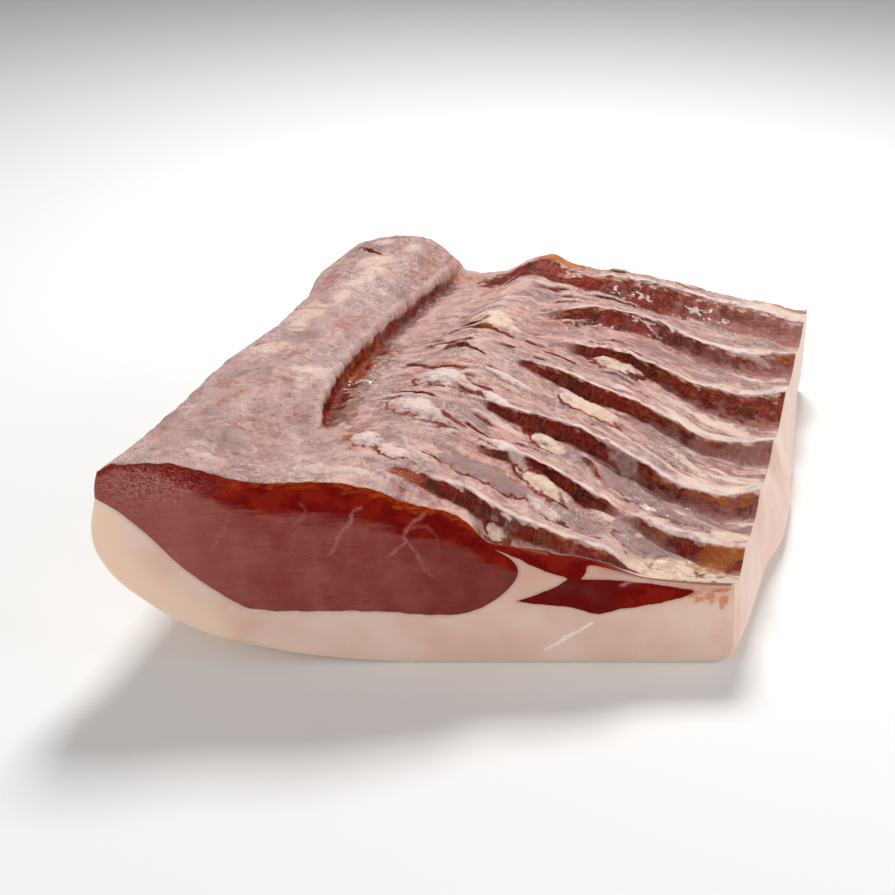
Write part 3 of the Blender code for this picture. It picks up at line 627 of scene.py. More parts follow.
def pads(s, t, shapes, seed, flat=False):
    """How much each place belongs to the pads, from 0 to 1, how far they raise it, and how near it
    is to the shadow along a raised pad's front. Of flat pads the last value is their share."""
    cover = np.zeros_like(s)
    rise = np.zeros_like(s)
    shadow = np.zeros_like(s)
    for k, (ps, pt, long, wide, turn, height) in enumerate(shapes):
        c, d = np.cos(np.radians(turn)), np.sin(np.radians(turn))
        along = (s - ps) * c + (t - pt) * d
        across = -(s - ps) * d + (t - pt) * c
        bent = PAD_BEND * noise(along / 8, across / 6, seed + k)
        torn = PAD_RAGGED * rough((along + bent) / 3.4, (across - bent) / 2.4, seed + k + 50)
        away = np.hypot(along / long, across / wide) + torn
        weight = height if flat else min(0.5 + 0.5 * abs(height), 1)
        height = 0 if flat else height
        cover = np.maximum(cover, weight * (1 - ease(away, 1 - PAD_EDGE, 1 + PAD_EDGE)))
        rise = rise + height * (1 - ease(away, 0.3, 1.08))
        front = ease(-across / wide, 0.0, 0.5) * ease(height, 0.5, 1.0)
        shadow = np.maximum(shadow, front * bump(away - PAD_SHADOW_AT, PAD_SHADOW_WIDTH))
    return cover, rise, shadow


def blurred(values, passes):
    """A grid of values, smoothed between neighbours again and again."""
    for _ in range(passes):
        padded = np.pad(values, 1, mode="reflect", reflect_type="odd")
        values = (padded[:-2, 1:-1] + padded[2:, 1:-1] + padded[1:-1, :-2] + padded[1:-1, 2:]) / 4
    return values


def flaps(along, across, seed):
    """Overlapping torn layers: how far each stands up, and how near its front edge and the shadow
    before it are, each from 0 to 1."""
    v = across / FLAP_SPACING + 0.55 * rough(along / 24, across / 20, seed)
    layer = np.floor(v)
    past = v - layer
    here = ease(noise(along / 11, LAYERS_APART * layer, seed + 5), 0.05, 0.5)
    ahead = ease(noise(along / 11, LAYERS_APART * (layer + 1), seed + 5), 0.05, 0.5)
    rise = here * ease(past, 0, 0.1) * (1 - past)
    lip = here * bump(past - 0.2, 0.12)
    shadow = np.maximum(here * bump(past, 0.07), ahead * np.exp(-(1 - past) / 0.07))
    return rise, lip, shadow


def grain(s, t, row_t):
    """Two measures in mm over the top: along the meat's fibres, and across them."""
    return s, row_t + GRAIN_BEND * np.exp(-np.maximum(s - step_line(t), 0) / GRAIN_BEND_RUN)


class Top:
    """The top surface along every fine row, at s given as rows by columns: where its points lie,
    and what shows there, each from 0 to 1."""

    def __init__(self, s):
        self.flat_s = s
        self.lay_rows()
        self.place_pads()
        level = self.z
        self.roughen()
        self.carve_flanks()
        self.carve_step()
        self.finish_rims(level)
        self.darken()
        self.tint()
        self.mark_left()

    def lay_rows(self):
        """Depth and height of every place, and where it lies between its ridge's crest and foot."""
        s = self.flat_s
        t_all, drop_all = stations(s)
        t_start, t_end = pick(t_all, INTERVAL), pick(t_all, INTERVAL + 1)
        d_start, d_end = pick(drop_all, INTERVAL), pick(drop_all, INTERVAL + 1)
        self.flank = np.broadcast_to(INTERVAL % 2 == 1, s.shape)
        self.u = u = np.broadcast_to(FRACTION, s.shape)
        t = mix(t_start, t_end, u)
        slope = np.where(self.flank, mix(u, ease(u, 0, 1), FLANK_EASE), ease(u ** SLOPE_EASE, 0, 1))
        slope = np.where((INTERVAL == 0) | (INTERVAL == LAST), u, slope)
        z = crest_level(s, t) - mix(d_start, d_end, slope)
        round_off = ease(s, *ROUND_OFF)[1:-1]
        for _ in range(CREST_PASSES):
            for grid in (z, t):
                grid[1:-1] = mix(grid[1:-1], (grid[:-2] + 2 * grid[1:-1] + grid[2:]) / 4, round_off)
        self.z, self.flat_t = z, t
        self.slant = np.hypot(t_end - t_start, d_end - d_start)
        self.past_crest = np.where(self.flank, (u - 1) * self.slant, t - t_start)
        self.to_foot = np.where(self.flank, 0, t_end - t)
        heights = np.array([ridge["depth"](s) - ridge["sink"](s) for ridge in ridges])
        self.strong = ease(pick(heights, HERE), *STRONG_RIDGE) * (INTERVAL > 0)
        self.strong_ahead = ease(pick(heights, AHEAD), *STRONG_RIDGE) * (INTERVAL < LAST)
        self.along, self.across = grain(s, t, np.broadcast_to(T_RIGHT, s.shape))
        self.away = s - wall_line(t)

    def place_pads(self):
        """Pads, pits and wet patches, and how much of each a flank takes."""
        place = self.flat_s, self.flat_t
        self.on_flank = np.where(self.flank, PAD_ON_FLANK, 1.0)
        self.cream_pad, cream_rise, cream_shadow = pads(*place, CREAM_PADS, 101)
        self.pale_pad, pale_rise, pale_shadow = pads(*place, PALE_PADS, 151)
        self.lilac_pad, lilac_rise, lilac_shadow = pads(*place, LILAC_PADS, 201)
        self.raw_pad = pads(*place, RAW_PADS, 251, True)[0]
        self.pit, pit_rise = pads(*place, SHADED_PITS, 301)[:2]
        self.orange_pad = pads(*place, ORANGE_PADS, 351, True)[0]
        self.wet_pad = pads(*place, WET_SPOTS, 401, True)[0]
        self.pad_rise = (cream_rise + pale_rise + lilac_rise) * self.on_flank + pit_rise
        self.pad_shadow = np.maximum(np.maximum(cream_shadow, pale_shadow), lilac_shadow) * self.on_flank

    def roughen(self):
        """Adds pads, soft lumps, fibres, wrinkles in the beds, torn layers and a ragged lip."""
        s, t, away, along, across = self.flat_s, self.flat_t, self.away, self.along, self.across
        bed = np.where(self.flank, 0, 1) * ease(self.past_crest, 0, 3)
        self.streaky = np.maximum(ease(away, 0, 16), 0.6 * (1 - ease(t, 8, 24)) * ease(s, -66, -45))
        lumps = LUMP_RISE * rough(s / 13, t / 11, 11)
        lumps = lumps + STREAK_RISE * self.streaky * rough(along / 9, across / 3.2, 23)
        even = 1 - 0.6 * ease(s, *RIGHT_PART)
        fibres = FIBRE_RISE * self.streaky * even * rough(along / 5.5, across / 1.1, 31, 2)
        skin = SKIN_RISE * (1 - self.streaky) * rough(s / 3.0 + t / 9.0, t / 3.0 - s / 9.0, 37, 3)
        folds = 0.5 - np.abs(rough(along / 7.0, across / 2.4, 41, 2))
        wrinkles = WRINKLE_RISE * even * folds * ease(s, -30, 5) * mix(0.5, 1, bed)
        flap, self.flap_lip, self.flap_shadow = flaps(along, across, 91)
        self.loose = ease(away, 6, 22) * mix(1, 0.45, ease(s, 15, 45)) * ease(t, 4, 12)
        self.loose = self.loose * np.where(self.flank, 0.2, 1)
        self.lip = bump(self.past_crest, LIP_WIDTH) * self.strong
        self.ragged = rough(s / 4.5, 3.0 * INTERVAL, 53)
        z = self.z + self.pad_rise + WET_WAVES * self.wet_pad * rough(s / 3.2, t / 2.4, 405, 2)
        z = z + lumps + fibres + skin + wrinkles + FLAP_RISE * flap * self.loose
        self.z = z + self.lip * (LIP_RISE + LIP_RISE_RAGGED * self.ragged)

    def carve_flanks(self):
        """Hangs each crest's lip over its flank, which is hollow and craggy below it."""
        s, t, u, flank = self.flat_s, self.flat_t, self.u, self.flank
        recess = np.where(flank, np.sin(np.pi * u) * (1 - u), 0) * self.strong
        crags = np.where(flank, np.sin(np.pi * u), 0) * self.strong * rough(s / 2.2, u * self.slant / 1.6, 61)
        shift = -self.lip * (LIP_REACH + LIP_REACH_RAGGED * self.ragged)
        shift = shift + FLANK_HOLLOW * recess - FLANK_CRAGS * crags
        off_seam = ease(np.abs(s - SEAM_S), 0.3, 3.0)
        shift = shift * ease(t, 0, END_CALM) * ease(LENGTH - t, 0, END_CALM) * off_seam
        self.t = np.clip(t + shift, 0, LENGTH)
        self.z = self.z - FLANK_CRAG_DROP * crags * off_seam

    def carve_step(self):
        """Undercuts the step's wall below its ragged rim."""
        t, away = self.flat_t, self.away
        wall = step_strength(t)
        shift = -UNDERCUT * bump(away - 1.3, 1.5) * wall * (1 + 0.35 * rough(t / 3.5, 0, 71))
        drop = STEP_FOOT_DROP * bump(away - 2.0, 1.6) * wall
        rise = STEP_BROW_RISE * bump(away + 1.6, 1.4) * wall * (0.5 + rough(t / 5, 0, 79))
        self.z = self.z - drop + rise
        crags = bump(away - 0.4, 1.2) * wall * rough(t / 2.6, self.z / 2.0, 77)
        self.s = self.flat_s + shift + STEP_CRAGS * crags

    def finish_rims(self, level):
        """Rounds the uneven rims of both cuts a little and keeps the front one calm at the right."""
        s, t = self.flat_s, self.flat_t
        ends = (t, LENGTH - t)
        calm = 1 - ease(s, *CALM_PART) * (1 - ease(t, 0, CALM_RUN))
        waves = UNEVEN_RIM * rough(s / 1.7, 0, 57, 2) * sum(np.exp(-end / UNEVEN_RIM_RUN) for end in ends)
        rounding = RIM_ROUND * sum(np.exp(-end / RIM_ROUND) for end in ends)
        self.z = np.minimum(level + (self.z + waves - rounding - level) * calm, TOP_LIMIT)

    def darken(self):
        """How dark each place is: flanks, partly painted shade, with painted shade at their feet, the step's
        foot and pits, and painted shadows.
        """
        s, t, u, flank, away = self.flat_s, self.flat_t, self.u, self.flank, self.away
        self.up = u + 0.26 * rough(s / 4.2, u * self.slant / 1.5 + 9.0 * INTERVAL, 83, 4)
        self.right = ease(s, *RIGHT_PART)
        every_shade = np.array([ridge["shade"](s) for ridge in ridges])
        patchy = np.clip(0.85 + 0.5 * rough(s / 7, 5.0 * INTERVAL, 85), 0, 1.1)
        # Flank darkness: partly the flank's own dark moist meat, partly painted shade under its crest.
        shade = pick(every_shade, HERE) * (INTERVAL > 0) * mix(patchy, 1, 0.4)
        low = np.where(flank, 1 - ease(self.up, 0.70, 1.02), 0)
        low = low * mix(1, ease(self.up, -0.25, 0.62), self.right)
        # Painted shade in the bed just before the next flank's foot.
        foot = np.where(flank, 0, np.exp(-self.to_foot / 1.4)) * mix(0.75, 0.0, self.right)
        shade_ahead = pick(every_shade, AHEAD) * (INTERVAL < LAST)
        # The step's foot: its own dark meat with painted shade in the crevice.
        crevice_end = 0.4 * rough(s / 3, t / 3, 88)
        crevice = ease(away, -0.9, 0.3) * (1 - ease(away / crevice_width(t) + crevice_end, 0.25, 1.5))
        self.crevice = crevice * crevice_dark(t) * (0.9 + 0.4 * rough(t / 9, 0, 89))
        grains = 0.75 + 0.7 * rough(s / 1.8, t / 2.4, 93, 2)
        self.stained = unit(stain(t) * ease(away, 0, 2) * (1 - ease(away, 5, 13)) * grains)
        # Painted shadows under the flaps' and pads' front edges.
        shadows = 0.75 * self.flap_shadow * self.loose + 0.8 * self.pad_shadow
        self.dark = unit(shade * low + shade_ahead * foot + self.crevice + self.pit + shadows
                         + 0.25 * self.stained)

    def tint(self):
        """Cream fat, grey membrane, pale crests and flap lips that are partly painted highlight, rust, and
        wet patches with painted glints.
        """
        s, t, u, flank, up, right = self.flat_s, self.flat_t, self.u, self.flank, self.up, self.right
        self.plum = ease(s, 30, 55) * np.where(flank, 1 - ease(up, 0.0, 0.4), 1)
        self.mauve = self.strong * np.where(flank, 1 - ease(up, 0.72, 0.98), 0) * (INTERVAL > 1)
        past_stripe = self.past_crest - 4.0 - 1.5 * noise(s / 9, 3.0 * INTERVAL, 97)
        stripe = ease(s, 42, 60) * bump(past_stripe, 2.6) * (1 - flank)
        shelf = ease(s, 38, 50) * (1 - ease(t, 2, 8))
        self.cream = unit(self.cream_pad * np.where(flank, 0.4, 1) + 0.9 * stripe + 0.8 * shelf)
        foot_lilac = right * np.where(flank, 1 - ease(up, 0.1, 0.4), np.exp(-self.to_foot / 3.5))
        foot_lilac = 0.85 * foot_lilac * self.strong_ahead
        self.lilac = np.maximum(self.lilac_pad * self.on_flank, foot_lilac)
        # Pale crests: dried bloom with a painted highlight along them.
        lip_width = mix(1.1, 2.5, ease(s, 35, 60))
        crest = bump(self.past_crest / lip_width - 0.5, 1.0) * self.strong * (0.75 + 0.35 * self.ragged)
        self.wet = unit(self.wet_pad)
        # Painted glints: pale wavy lines of reflection laid into the wet patches.
        shine = bump(rough(s / 8, u * self.slant / 3.6 + 5.0 * INTERVAL, 407, 2), 0.17)
        shine = shine * ease(self.wet, 0.5, 0.9) * ease(noise(s / 7, u * self.slant / 3, 409), -0.25, 0.1)
        # Pale flap lips: partly dried edges, partly painted highlight on the raised layers.
        flap_lip = 0.6 * self.flap_lip * self.loose
        self.white = unit(1.05 * crest + 0.72 * self.pale_pad + flap_lip + 1.3 * shine)
        spots = np.clip(0.6 + 0.9 * rough(s / 5, u * self.slant / 2 + 7.0 * INTERVAL, 86), 0.1, 1.2)
        rusty = pick(np.array([ridge["rust"](s) for ridge in ridges]), HERE)
        rust = np.where(flank, rusty * self.strong * bump(up - mix(0.74, 0.70, right), 0.26), 0) * spots
        glow = self.crevice * crevice_rust(t) * np.clip(0.7 + 1.3 * rough(t / 4, self.away / 2, 87), 0, 1.1)
        self.orange = unit(self.orange_pad + 0.9 * rust + 0.8 * glow)

    def mark_left(self):
        """The smoother left muscle with its raw upper end, and where the meat is hollow, for painted shade
        and highlight.
        """
        self.left = 1 - ease(self.away, -4, 12)
        upper_end = 0.8 * ease(self.flat_t, 126, 150) * (1 - ease(self.away, -8, 0))
        self.lilac = np.maximum(self.lilac, 0.65 * upper_end)
        self.raw = unit(self.raw_pad + 0.25 * ease(self.flat_s, -18, 8) + upper_end)
        fine = (blurred(self.z, FINE_BLUR) - self.z) / FINE_HOLLOW
        broad = (blurred(self.z, BROAD_BLUR) - self.z) / BROAD_HOLLOW
        self.hollow = unit(0.5 + 0.5 * (0.55 * fine + 0.6 * broad))

    def points(self):
        return to_world(self.s, self.t, self.z)


def to_world(s, t, z):
    """Places in metres, as an array whose last axis is x, y, z."""
    s, t, z = np.broadcast_arrays(s, t, z)
    return np.stack([(s + SKEW * t - ORIGIN_X) * MM, (t - LENGTH / 2) * MM, z * MM], axis=-1)


def rows_of(points):
    """The same points (s, z) on every row."""
    return np.broadcast_to(np.array(points, float), (ROWS,) + np.array(points).shape)


def rows_mix(first, last, u):
    """Points (s, z) that go from the first list to the last as u, one value a row, goes to 1."""
    return mix(np.array(first, float), np.array(last, float), u[:, :, None])


def smooth_rows(rows, count):
    """Each row's points as a smooth curve of count points."""
    return np.array([spline(row, count) for row in rows])


def even_rows(rows, count):
    """Each row's points as count points evenly spaced along straight runs."""
    return np.array([evenly(row, count) for row in rows])


def uneven(rows, seed):
    """Border lines with small bends, their ends left in place."""
    fade = np.sqrt(np.sin(np.pi * np.linspace(0, 1, rows.shape[1])).clip(0))
    bent = rows.copy()
    bent[:, :, 1] += BORDER_WANDER * fade * rough(rows[:, :, 0] / 4.0, T_LEFT / 30, seed)
    return bent


def lift(rows):
    """Rows of (s, z) as places in metres, each on its own row's line."""
    return to_world(rows[:, :, 0], row_depth(rows[:, :, 0]), rows[:, :, 1])


def outer_left():
    """The fat's outer curve, from the lean's edge on the left down to the flat underside."""
    cut = spline(LEFT_CUT, CURVE_POINTS)
    inner = spline(LEFT_INNER, CURVE_POINTS)
    line = rows_mix(cut, inner, SETTLED)
    shift = CORNER_LEFT - LEFT_EDGE[0][1]
    line[:, :, 0] += shift * ease(-line[:, :, 0], *SIDE_SHIFT)
    lower = FRONT_EDGE[0][1] - crest_level(CORNER_LEFT, row_depth(CORNER_LEFT))
    line[:, :, 1] = np.maximum(line[:, :, 1] - lower * ease(line[:, :, 1], *SIDE_SINK), 0)
    return line


def eye_under():
    """Under the eye muscle, from near its left edge to its right tip."""
    line = np.tile(np.array(EYE_UNDER, float), (ROWS, 1, 1))
    line[:, :, 0] += (CORNER_LEFT - LEFT_EDGE[0][1]) * ease(-line[:, :, 0], *EYE_SHIFT)
    return line


def right_wall(top_z):
    """Round the right foot from the flat underside and up the wall to the top corner."""
    foot_s = right_foot(T_RIGHT)
    turn = np.linspace(-np.pi / 2, 0, FOOT_POINTS)
    foot = FOOT_RADIUS * stacked(np.cos(turn) - 1 + 0 * foot_s, 1 + np.sin(turn)) + stacked(foot_s, 0)
    u = np.linspace(0, 1, WALL_POINTS + 1)[1:]
    wall = stacked(mix(foot_s, CORNER_RIGHT, u ** WALL_LEAN), mix(FOOT_RADIUS, top_z, u))
    return np.concatenate([foot, wall[:, :-1]], axis=1)


def nearest(points, line):
    """Distance from each point to a line of points."""
    best = np.full(points.shape[:-1], np.inf)
    for a, b in zip(line[:-1], line[1:]):
        span = b - a
        u = np.clip(((points - a) @ span) / (span @ span), 0, 1)
        best = np.minimum(best, np.linalg.norm(points - a - u[..., None] * span, axis=-1))
    return best


def inside(points, outline):
    """Which points lie inside a closed outline."""
    x, y = points[:, 0], points[:, 1]
    hit = np.zeros(len(points), bool)
    for a, b in zip(outline, np.roll(outline, -1, axis=0)):
        if a[1] != b[1]:
            crosses = (a[1] > y) != (b[1] > y)
            hit ^= crosses & (x < a[0] + (b[0] - a[0]) * (y - a[1]) / (b[1] - a[1]))
    return hit


def lattice(low, high, spacing):
    """Points of an even three-way lattice that covers a rectangle."""
    height = spacing * np.sqrt(0.75)
    y = np.arange(low[1] + height / 2, high[1], height)
    x = np.arange(low[0] + spacing / 2, high[0], spacing)
    grid_x, grid_y = np.meshgrid(x, y)
    grid_x = grid_x + np.where(np.arange(len(y)) % 2, spacing / 2, 0)[:, None]
    return np.column_stack([grid_x.ravel(), grid_y.ravel()])


def triangles(flat, count):
    """Triangles over flat points, the first count of which are the outline."""
    found = delaunay_2d_cdt([Vector(p) for p in flat], [], [list(range(count))], 1, 1e-7)
    source = [ids[0] for ids in found[3]]
    return np.array([[source[k] for k in face] for face in found[2]])


def link(name, data):
    """A new object in the scene."""
    thing = bpy.data.objects.new(name, data)
    bpy.context.scene.collection.objects.link(thing)
    return thing


class Skin:
    """A closed surface gathered from patches that share their edge points."""

    def __init__(self, name):
        self.name = name
        self.points, self.faces, self.slots = [], [], []
        self.fields = {"tone": [], "tint": [], "grain": [], "form": [], "part": []}
        self.total = 0

    def add(self, points, faces, slot, **fields):
        self.points.append(points)
        self.faces.append(faces + self.total)
        self.slots.append(np.full(len(faces), slot))
        for key, values in self.fields.items():
            values.append(fields.get(key, np.zeros((len(points), 3))))
        self.total += len(points)

    def grid(self, places, slot, **fields):
        """Adds a rectangular grid of places, each cell split along its shorter diagonal."""
        rows, columns = places.shape[:2]
        number = np.arange(rows * columns).reshape(rows, columns)
        a, b = number[:-1, :-1].ravel(), number[:-1, 1:].ravel()
        c, d = number[1:, 1:].ravel(), number[1:, :-1].ravel()
        flat = places.reshape(-1, 3)
        short = np.linalg.norm(flat[a] - flat[c], axis=1) < np.linalg.norm(flat[b] - flat[d], axis=1)
        first = np.where(short[:, None], np.column_stack([a, b, c]), np.column_stack([a, b, d]))
        second = np.where(short[:, None], np.column_stack([a, c, d]), np.column_stack([b, c, d]))
        flat_fields = {key: value.reshape(-1, 3) for key, value in fields.items()}
        self.add(flat, np.vstack([first, second]), slot, **flat_fields)

    def wall(self, places, spacing, slot, **fields):
        """Adds a grid of places with all its edge points but only some of the inner ones."""
        rows, columns = places.shape[:2]
        across = lengths(places[rows // 2]) / MM
        back = lengths(places[:, columns // 2]) / MM
        edge = [(0, k) for k in range(columns)] + [(k, columns - 1) for k in range(1, rows)]
        edge += [(rows - 1, k) for k in range(columns - 2, -1, -1)] + [(k, 0) for k in range(rows - 2, 0, -1)]
        inner_rows, inner_columns = (
            np.unique(np.searchsorted(line, np.arange(spacing, line[-1] - spacing / 2, spacing)))
            for line in (back, across))
        nodes = np.array(edge + [(i, k) for i in inner_rows for k in inner_columns])
        flat = np.column_stack([across[nodes[:, 1]], back[nodes[:, 0]]])
        chosen = {key: value[nodes[:, 0], nodes[:, 1]] for key, value in fields.items()}
        self.add(places[nodes[:, 0], nodes[:, 1]], triangles(flat, len(edge)), slot, **chosen)

    def cut(self, outline, spacing, slot, dress, front):
        """Fills a flat cut's closed outline, dressed by a function of its (s, z) points."""
        flat = np.column_stack([outline[:, 0] / MM, outline[:, 2] / MM])
        t = outline[0, 1] / MM + LENGTH / 2
        flat[:, 0] += ORIGIN_X - SKEW * t
        inner = lattice(flat.min(axis=0), flat.max(axis=0), spacing)
        closed = np.vstack([flat, flat[:1]])
        inner = inner[inside(inner, flat)]
        inner = inner[nearest(inner, closed) > spacing * CUT_MARGIN]
        every = np.vstack([flat, inner])
        away = nearest(every, closed)
        depth, fields = dress(every, away, front)
        inward = np.maximum(depth, 0) * MM * (1 if front else -1)
        places = to_world(every[:, 0], t, every[:, 1])
        places[:len(flat)] = outline
        places[:, 1] += inward
        places[:, 0] += SKEW * inward
        self.add(places, triangles(every, len(flat)), slot, **fields)

    def ends(self, loops, spacings, slot, dress):
        """Fills the front and the back cut, the first and the last row of the closed loops."""
        for row, spacing in zip((0, -1), spacings):
            self.cut(loops[row], spacing, slot, dress, row == 0)

    def build(self, materials):
        """Welds the patches into one closed mesh with its faces out."""
        points = np.vstack(self.points)
        keys = np.round(points / MM * WELDS_PER_MM).astype(np.int64)
        first, index = np.unique(keys, axis=0, return_index=True, return_inverse=True)[1:]
        index = index.ravel()
        faces = index[np.vstack(self.faces)]
        slots = np.concatenate(self.slots)
        whole = (faces[:, 0] != faces[:, 1]) & (faces[:, 1] != faces[:, 2]) & (faces[:, 2] != faces[:, 0])
        faces, slots = faces[whole], slots[whole]
        mesh = bpy.data.meshes.new(self.name)
        mesh.from_pydata(points[first].tolist(), [], faces.tolist())
        mesh.polygons.foreach_set("material_index", slots.astype(np.int32))
        for key, values in self.fields.items():
            joined = np.zeros((len(first), 3))
            np.maximum.at(joined, index, np.vstack(values))
            if key == "grain":
                joined = np.vstack(values)[first]
            layer = mesh.attributes.new(key, "FLOAT_VECTOR", "POINT")
            layer.data.foreach_set("vector", joined.astype(np.float32).ravel())
        for material in materials:
            mesh.materials.append(material)
        solid = bmesh.new()
        solid.from_mesh(mesh)
        bmesh.ops.recalc_face_normals(solid, faces=solid.faces)
        if solid.calc_volume(signed=True) < 0:
            bmesh.ops.reverse_faces(solid, faces=solid.faces)
        open_edges = sum(not edge.is_manifold for edge in solid.edges)
        print(self.name, len(solid.faces), "triangles,", open_edges, "open edges")
        solid.to_mesh(mesh)
        solid.free()
        mesh.shade_smooth()
        mesh.set_sharp_from_angle(angle=np.radians(SHARP_ANGLE))
        return link(self.name, mesh)


def top_fields(top):
    """What the top's material reads."""
    return dict(tone=stacked(top.dark, top.cream, top.lilac), tint=stacked(top.orange, top.white, top.wet),
                grain=stacked(top.along, top.across, top.plum), form=stacked(top.hollow, top.raw, top.mauve),
                part=stacked(top.streaky, top.stained, top.left))


def cut_fields(s, z, tone, tint, form=(0, 0, 0)):
    """What a cut's material reads."""
    blank = np.zeros_like(s)
    return dict(tone=stacked(*tone), tint=stacked(blank, *tint)[:, 1:], grain=stacked(s, z, blank),
                form=stacked(blank, *form)[:, 1:])


def below_top(s, z, front):
    """How far a place on a cut lies below the top edge."""
    edge = front_edge(s) if front else crest_level(s, np.full_like(s, LENGTH))
    return edge - z


def sunk(s, z, away, sink):
    """How far a cut muscle has sunk, more away from its edge, with soft waves."""
    depth, run, height, wave_run, long, wide, seed = sink
    return depth * ease(away, 0, run) + height * rough(s / long, z / wide, seed) * ease(away, 0, wave_run)


def oval(s, z, middle, size):
    """1 in the middle of an oval patch, falling to 0 outside it."""
    return bump(np.hypot((s - middle[0]) / size[0], (z - middle[1]) / size[1]), 1.0)


def lean_marks(points, s, z):
    """The veins and the dotted press line on the front cut."""
    wander = 0.5 * np.column_stack([rough(s / 2.5, z / 2.5, 521), rough(s / 2.5, z / 2.5, 531)])
    veins = np.zeros_like(s)
    for vein, strength in zip(VEINS, VEIN_STRENGTH):
        gap = nearest(points + wander, spline(vein, 40))
        patchy = 0.75 + 0.5 * noise(s / 1.5, z / 1.5, 541)
        veins = np.maximum(veins, strength * bump(gap, VEIN_WIDTH) * patchy)
    press = nearest(points + 0.3 * wander, spline(PRESS_LINE, 60))
    dots = ease(noise(s / 0.9, z / 3, 551), -0.3, 0.5)
    return unit(veins), unit(bump(press, PRESS_WIDTH) * dots * ease(-s, -20, 10))


def lean_cut(points, away, front):
    """The dried rim, veins and marks of a cut through the lean, and how far it has sunk."""
    s, z = points[:, 0], points[:, 1]
    below = below_top(s, z, front) + 1.3 * rough(s / 7, z / 7, 501)
    reach = rim_reach(s)
    rim = 1 - ease(below, reach * 0.2, reach * 1.15)
    uneven_rim = 1.5 * rough(s / 3.5, z / 2.0, 511)
    rust = (1 - ease(below + uneven_rim, 0.8, 4.6)) * rim_orange(s)
    rust = rust * (0.85 + 0.5 * noise(s / 2.5, z / 1.5, 515))
    veins, line = lean_marks(points, s, z) if front else (0, 0)
    knife = oval(s, z, *KNIFE_ZONE) if front else 0
    tint = (unit(rust), knife, ease(s, -30, 12))
    return sunk(s, z, away, LEAN_SINK), cut_fields(s, z, (rim, veins, line), tint, (ease(-s, 40, 75), 0, 0))


def rib_cut(points, away, front):
    """The dark rib meat at a cut, rusty along its top edge, with a thin pale membrane."""
    s, z = points[:, 0], points[:, 1]
    below = below_top(s, z, front)
    thin = ease(s, 40, 50) if front else np.zeros_like(s)
    rust = 1 - ease(below + 0.7 * rough(s / 2.2, z / 2.2, 611), 0.5, 2.6)
    rust = rust * (0.5 + 0.5 * noise(s / 5, z / 5, 613))
    membrane = bump(nearest(points, spline(MEMBRANE, 30)), 0.45) if front else 0
    rim = (1 - ease(below, 3.0, 9.0)) * (1 - thin)
    tone = (rim, np.maximum(0.8 * membrane, 1.2 * thin), 0)
    return sunk(s, z, away, RIB_SINK), cut_fields(s, z, tone, (unit(rust * (1 - thin)), 0, 1 - thin))


def flank_cut(points, away, front):
    """The moist lens of lean in the fat, with a painted shine, a pale highlight streak, at its upper edge."""
    s, z = points[:, 0], points[:, 1]
    glint = bump(nearest(points, spline(LENS_PAINTED_SHINE, 20)) + 0.3 * rough(s, z, 625), 0.55) if front else 0
    pale = unit(oval(s, z, *LENS_PALE) + 0.5 * rough(s / 6, z / 2, 629))
    tone = (ease(s, 40, 60), 1.3 * glint, 0)
    return sunk(s, z, away, LENS_SINK), cut_fields(s, z, tone, (0, 0, 1 - pale))


def rust_spots(s, z):
    """Rust-coloured spots at the right of the front cut, in a faint halo."""
    rust = 0.42 * oval(s, z, *RUST_HALO)
    for middle_s, middle_z, long, wide in RUST_SPOTS:
        off = np.hypot((s - middle_s) / long, (z - middle_z) / wide) + 0.45 * rough(s / 1.2, z / 2.2, 711)
        rust = np.maximum(rust, 1 - ease(off, 0.3, 1.5))
    return rust


def fat_glints(points, s, z):
    """The ragged pale scratch of painted highlight low on the front cut."""
    ragged = 0.4 * rough(s / 1.4, z / 1.4, 721)
    glint = np.zeros_like(s)
    for line in FAT_GLINTS:
        glint = np.maximum(glint, bump(nearest(points, np.array(line)) + ragged, 0.6))
    return glint


def fat_cut(points, away, front):
    """The cut through the fat: peach outside, pale under the lean, pink and rusty at the right, with a raised
    painted glint low down.
    """
    s, z = points[:, 0], points[:, 1]
    outer = 1 - ease(nearest(points, np.array(PEACH_EDGE)), 3, 13)
    under = nearest(points, spline(FAT_STREAK, 60))
    streaks = bump(under, 1.6) * ease(noise(s / 6, z / 0.5, 701), -0.1, 0.5) * ease(-s, -30, 0)
    pink = sum(share * oval(s, z, middle, size) for share, middle, size in FAT_FLUSHES)
    pink = pink + 0.55 * bump(away, 0.55) * ease(z, 4, 8) * (1 - outer) * ease(-s, -74, -70)
    glint = fat_glints(points, s, z) if front else 0
    depth = FAT_SINK * ease(away, 0, 4) * (1 + rough(s / 14, z / 8, 731)) - GLINT_RISE * glint
    return depth, cut_fields(s, z, (outer, unit(pink), rust_spots(s, z)), (streaks, glint, 0))


def joined(*rows):
    return np.concatenate(rows, axis=1)


def flipped(rows):
    """The same rows, each run the other way."""
    return rows[:, ::-1]


def shares(count):
    """Even shares from 0 to 1, as one row."""
    return np.linspace(0, 1, count)[None]


def eye_columns():
    """Where the eye muscle's top has its points: the smooth floor, the step and the left muscle."""
    foot = step_line(T_LEFT) + STEP_FACE
    brow = step_line(T_LEFT) - STEP_FACE
    return np.hstack([mix(SEAM_S, foot, shares(EYE_FLOOR_COLUMNS)),
                      mix(foot, brow, shares(EYE_STEP_COLUMNS)[:, 1:]),
                      mix(brow, CORNER_LEFT, shares(EYE_HUMP_COLUMNS)[:, 1:])])


